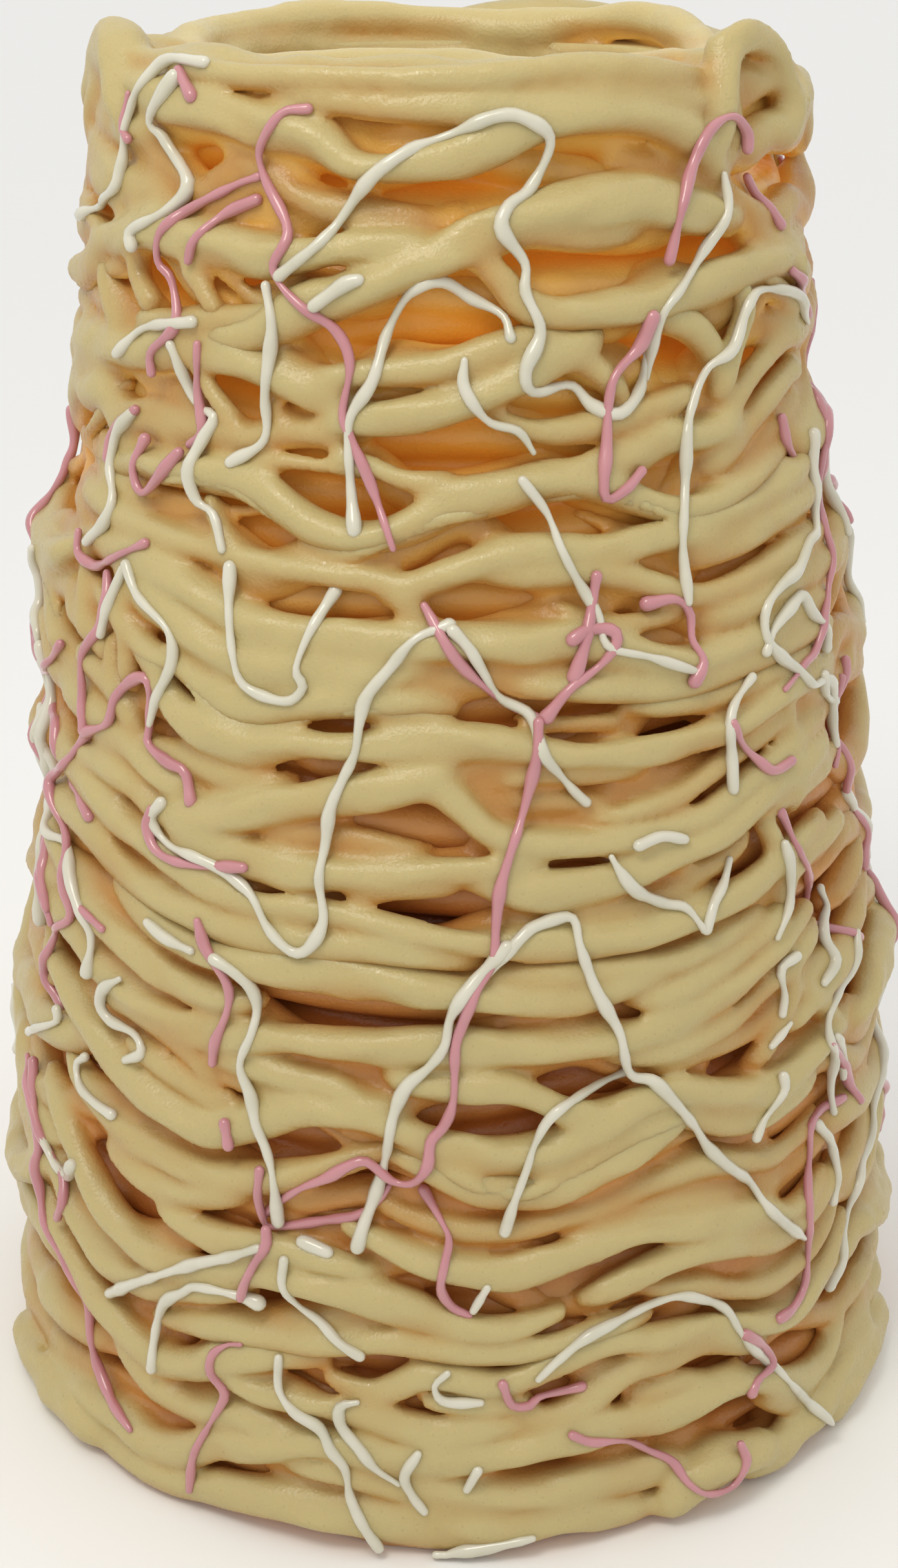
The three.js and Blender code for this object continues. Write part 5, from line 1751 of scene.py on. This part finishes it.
@dataclass(frozen=True)
class BakedBatter:
    """Egg batter baked on the spit in thin layers: satin, slightly waxy, like firm meringue.

    Its colour goes by depth. Pale butter on the outermost crests is its own colour. The older
    batter behind is apricot, in part its own colour; the brown to near black of the deepest holes
    is painted shade, and in the upper gaps an amber emission is a painted glow for light that
    passes through the wall.
    Fine grain and small pricked bubbles give it broken glints.

    Attributes:
        crest: the colour of the outermost batter, and the following ones of deeper and deeper,
            which are painted shade for the most part; painted_hole_shade is the deepest holes' painted shade.
        upper_apricot: the same for the upper part, which is thinner; there the deeper colours are a
            painted glow of light that passes through the wall.
        deepest: the depth at which the colours end.
        painted_underside_shade: painted shade under the threads: how much deeper a face that looks
            down counts than one that looks up.
        lump: the length of the patches in which the colour wanders by patchiness, both ways.
        ripple: the length of the soft relief under it, which is ripple_share times as high.
        bubble: the distance between pricked bubbles, whose spots are glossier by glint.
        painted_glow_strength: how strongly the painted glow, an emission standing in for light from
            behind, shines in the gaps.
        waxiness: the share of light that scatters below the skin.
    """

    crest: str = "#b8a772"
    pale: str = "#b59960"
    butter: str = "#b38444"
    apricot: str = "#c28644"
    brown: str = "#a45c26"
    painted_hole_shade: str = "#481a0a"
    upper_apricot: str = "#d6a650"
    upper_amber: str = "#dc9430"
    upper_brown: str = "#c07018"
    deepest: float = 20.0
    painted_underside_shade: float = 3.6
    lump: float = 26.0
    patchiness: float = 2.5
    grain: float = 0.7
    ripple: float = 5.0
    ripple_share: float = 3.0
    relief: float = 0.18
    bubble: float = 2.2
    roughness: float = 0.36
    glint: float = 0.22
    painted_glow_strength: float = 0.19
    waxiness: float = 0.4
    scatter: float = 4.0

    def depth_share(self, tree: bpy.types.NodeTree) -> bpy.types.NodeSocket:
        """How deep a point counts, from 0 on the outside to 1 at the deepest.

        Args:
            tree: the material's tree.

        Returns:
            The socket of the share.
        """
        depth = add_node(tree, "ShaderNodeAttribute", {"attribute_name": "depth"}).outputs["Fac"]
        lumps = surface_noise(tree, self.lump, 1.0)
        uneven = math_node(tree, "MULTIPLY_ADD", lumps, 2 * self.patchiness, -self.patchiness)
        # Painted shade: faces that look down count deeper, so they take darker, more saturated colours.
        facing = add_node(tree, "ShaderNodeNewGeometry").outputs["Normal"]
        upward = add_node(tree, "ShaderNodeSeparateXYZ", vector=facing).outputs[2]
        shaded = math_node(tree, "MULTIPLY_ADD", upward, -0.5 * self.painted_underside_shade, 0.5 * self.painted_underside_shade)
        total = math_node(tree, "ADD", math_node(tree, "ADD", depth, uneven), shaded)
        return math_node(tree, "DIVIDE", total, self.deepest)

    def colour(self, tree: bpy.types.NodeTree) -> bpy.types.NodeSocket:
        """The colour by depth, painted shade for the most part, which goes from the lower part's to the
        upper part's.

        Args:
            tree: the material's tree.

        Returns:
            The socket of the colour.
        """
        share = self.depth_share(tree)
        near = [(0.09, self.crest), (0.18, self.pale), (0.27, self.butter)]
        # The deeper stops are painted shade of the recesses, down to near black; in the upper ramp they are a
        # painted amber glow instead.
        lower = add_ramp(tree, share, [*near, (0.38, self.apricot), (0.58, self.brown), (0.95, self.painted_hole_shade)])
        upper = add_ramp(tree, share, [*near, (0.38, self.upper_apricot), (0.58, self.upper_amber),
                                       (0.95, self.upper_brown)])
        where = add_node(tree, "ShaderNodeTexCoord").outputs["Object"]
        height = add_node(tree, "ShaderNodeSeparateXYZ", vector=where).outputs[2]
        rise = add_node(tree, "ShaderNodeMapRange", {"interpolation_type": "SMOOTHSTEP"}, value=height,
                        from_min=150 * MM, from_max=255 * MM).outputs[0]
        return add_node(tree, "ShaderNodeMix", {"data_type": "RGBA"}, i0=rise, i6=lower, i7=upper).outputs[2]

    def make(self) -> bpy.types.Material:
        """Builds the material.

        Returns:
            The material.
        """
        material, tree, shader = new_material("baked_batter")
        colour = self.colour(tree)
        tree.links.new(colour, shader.inputs["Base Color"])
        # Painted glow: the colour is also emitted where painted_glow is set, standing in for light through
        # the wall.
        painted_glow = add_node(tree, "ShaderNodeAttribute", {"attribute_name": "painted_glow"}).outputs["Fac"]
        tree.links.new(colour, shader.inputs["Emission Color"])
        shine = math_node(tree, "MULTIPLY", painted_glow, self.painted_glow_strength)
        tree.links.new(shine, shader.inputs["Emission Strength"])
        height = math_node(tree, "MULTIPLY_ADD", surface_noise(tree, self.ripple, 0.0), self.ripple_share,
                           surface_noise(tree, self.grain, 1.0))
        add_relief(tree, shader, height, 0.8, self.relief)
        where = add_node(tree, "ShaderNodeTexCoord").outputs["Object"]
        bubbles = add_node(tree, "ShaderNodeTexVoronoi", vector=where, scale=1 / (self.bubble * MM))
        gloss = add_node(tree, "ShaderNodeMapRange", value=bubbles.outputs[0], from_min=0.05, from_max=0.22,
                         to_min=self.roughness - self.glint, to_max=self.roughness)
        tree.links.new(gloss.outputs[0], shader.inputs["Roughness"])
        shader.subsurface_method = "BURLEY"
        shader.inputs["Subsurface Weight"].default_value = self.waxiness
        shader.inputs["Subsurface Radius"].default_value = (1.0, 0.65, 0.3)
        shader.inputs["Subsurface Scale"].default_value = self.scatter * MM
        shader.inputs["IOR"].default_value = 1.45
        return material


@dataclass(frozen=True)
class SugarIcing:
    """Sugar icing piped wet and set hard: smooth, opaque, with a soft gloss.

    Attributes:
        thin: the colour where it is thinner, in patches.
        patch: the length of those patches.
        ripple: the length of the soft relief in its skin.
        gloss: how strong its clear, hard skin is.
    """

    name: str
    body: str
    thin: str
    patch: float = 9.0
    ripple: float = 2.5
    relief: float = 0.15
    roughness: float = 0.28
    gloss: float = 0.5

    def make(self) -> bpy.types.Material:
        """Builds the material.

        Returns:
            The material.
        """
        material, tree, shader = new_material(self.name)
        colour = add_ramp(tree, surface_noise(tree, self.patch, 2.0), [(0.3, self.thin), (0.6, self.body)])
        tree.links.new(colour, shader.inputs["Base Color"])
        add_relief(tree, shader, surface_noise(tree, self.ripple, 2.0), 0.3, self.relief)
        shader.inputs["Roughness"].default_value = self.roughness
        shader.inputs["Coat Weight"].default_value = self.gloss
        shader.inputs["Coat Roughness"].default_value = 0.1
        return material


@dataclass(frozen=True)
class PaleFloor:
    """A matt white table top, which only shows the cake's soft shadow."""

    colour: str = "#f2f1ee"
    roughness: float = 0.7

    def make(self) -> bpy.types.Material:
        """The material."""
        material, _, shader = new_material("pale_floor")
        shader.inputs["Base Color"].default_value = linear(self.colour)
        shader.inputs["Roughness"].default_value = self.roughness
        return material


# ---- The stage ----


@dataclass(frozen=True)
class Camera:
    """The photograph's view: from the front, a little above, close by.

    Attributes:
        lens: its focal length, for a film of the width given by film.
    """

    pitch: float = 21.68
    lens: float = 54.16
    film: float = 36
    near: float = 10

    def make(self) -> None:
        """Adds the camera and makes it the scene's own."""
        data = bpy.data.cameras.new("camera")
        data.lens = self.lens
        data.sensor_width = self.film
        data.clip_start = self.near * MM
        camera = bpy.data.objects.new("camera", data)
        camera.location = Vector(VIEWPOINT) * MM
        camera.rotation_euler = (math.radians(90 - self.pitch), 0, 0)
        bpy.context.scene.collection.objects.link(camera)
        bpy.context.scene.camera = camera


@dataclass(frozen=True)
class Studio:
    """A white table in white surroundings that are brightest overhead, with one soft lamp.

    Attributes:
        horizon: how bright the surroundings are level with the table.
        zenith: how bright they are overhead.
        lamp_at: where the lamp hangs. It shines on the middle of the cake.
    """

    table: float = 26.0
    horizon: float = 0.78
    zenith: float = 1.02
    lamp_at: tuple[float, float, float] = (-200, -420, 800)
    lamp_size: float = 0.26
    lamp_power: float = 2.0
    lamp_colour: str = "#fffaf0"

    def light(self) -> None:
        """Adds the square lamp."""
        data = bpy.data.lights.new("overhead", "AREA")
        data.size = self.lamp_size
        data.energy = self.lamp_power
        data.color = linear(self.lamp_colour)[:3]
        lamp = bpy.data.objects.new("overhead", data)
        at = Vector(self.lamp_at)
        lamp.location = at * MM
        lamp.rotation_euler = (Vector((0, 0, 150)) - at).to_track_quat("-Z", "Y").to_euler()
        bpy.context.scene.collection.objects.link(lamp)

    def surround(self) -> None:
        """Adds the surroundings, whose brightness follows the height that a ray goes up to."""
        world = bpy.data.worlds.new("surroundings")
        world.use_nodes = True
        tree = world.node_tree
        up = add_node(tree, "ShaderNodeTexCoord").outputs["Generated"]
        height = add_node(tree, "ShaderNodeSeparateXYZ", vector=up).outputs[2]
        strength = add_node(tree, "ShaderNodeMapRange", value=height, to_min=self.horizon,
                            to_max=self.zenith).outputs[0]
        tree.links.new(strength, tree.nodes["Background"].inputs["Strength"])
        tree.nodes["Background"].inputs["Color"].default_value = (1, 1, 1, 1)
        bpy.context.scene.world = world

    def make(self) -> None:
        """Adds the table, the surroundings and the lamp."""
        half = self.table / 2
        corners = np.array([(-half, -half, 0), (half, -half, 0), (half, half, 0), (-half, half, 0)])
        floor = plain_mesh("table", corners, np.array([(0, 1, 2, 3)]))
        floor.data.materials.append(PaleFloor().make())
        self.surround()
        self.light()
        bpy.context.scene.view_settings.view_transform = "Standard"


def main() -> None:
    """Builds the cake and its stage."""
    logging.basicConfig(level=logging.INFO, format="%(message)s")
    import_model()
    form = TowerForm()
    batter = BakedBatter().make()
    tower = BatterTower(form, RingRule(form, Draw(RING_SEED)), Draw(77))
    pieces = {piece: "batter" for piece in tower.make(batter)}
    pieces[InnerWall(form, Draw(31)).make("wall_inside", batter)] = "batter"
    for piece in pieces:
        mark_depth(piece, form)
    graph = bpy.context.evaluated_depsgraph_get()
    skins = [BVHTree.FromObject(piece, graph) for piece in pieces]
    sweep = icing_tree()
    sides = wandering_routes(Draw(5), 46)
    white = IcingDrizzle(form, Icing.WHITE, WHITE_LINES + sides[0::2], Draw(11))
    pink = IcingDrizzle(form, Icing.PINK, PINK_LINES + sides[1::2], Draw(12), radius=0.98)
    white_finish = SugarIcing("white_icing", "#d0ccba", "#c5c1ac")
    pink_finish = SugarIcing("pink_icing", "#c08489", "#b67a7f")
    for drizzle, finish in ((white, white_finish), (pink, pink_finish)):
        pieces[drizzle.make(skins, sweep, finish.make())] = finish.name
    for piece, slot in pieces.items():
        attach(piece, BODY)
        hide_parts(NODE)
        triangles = sum(len(polygon.vertices) - 2 for polygon in piece.data.polygons)
        log.info("%s: %d triangles, slot %s", piece.name, triangles, slot)
    Camera().make()
    Studio().make()


if __name__ == "__main__":
    main()
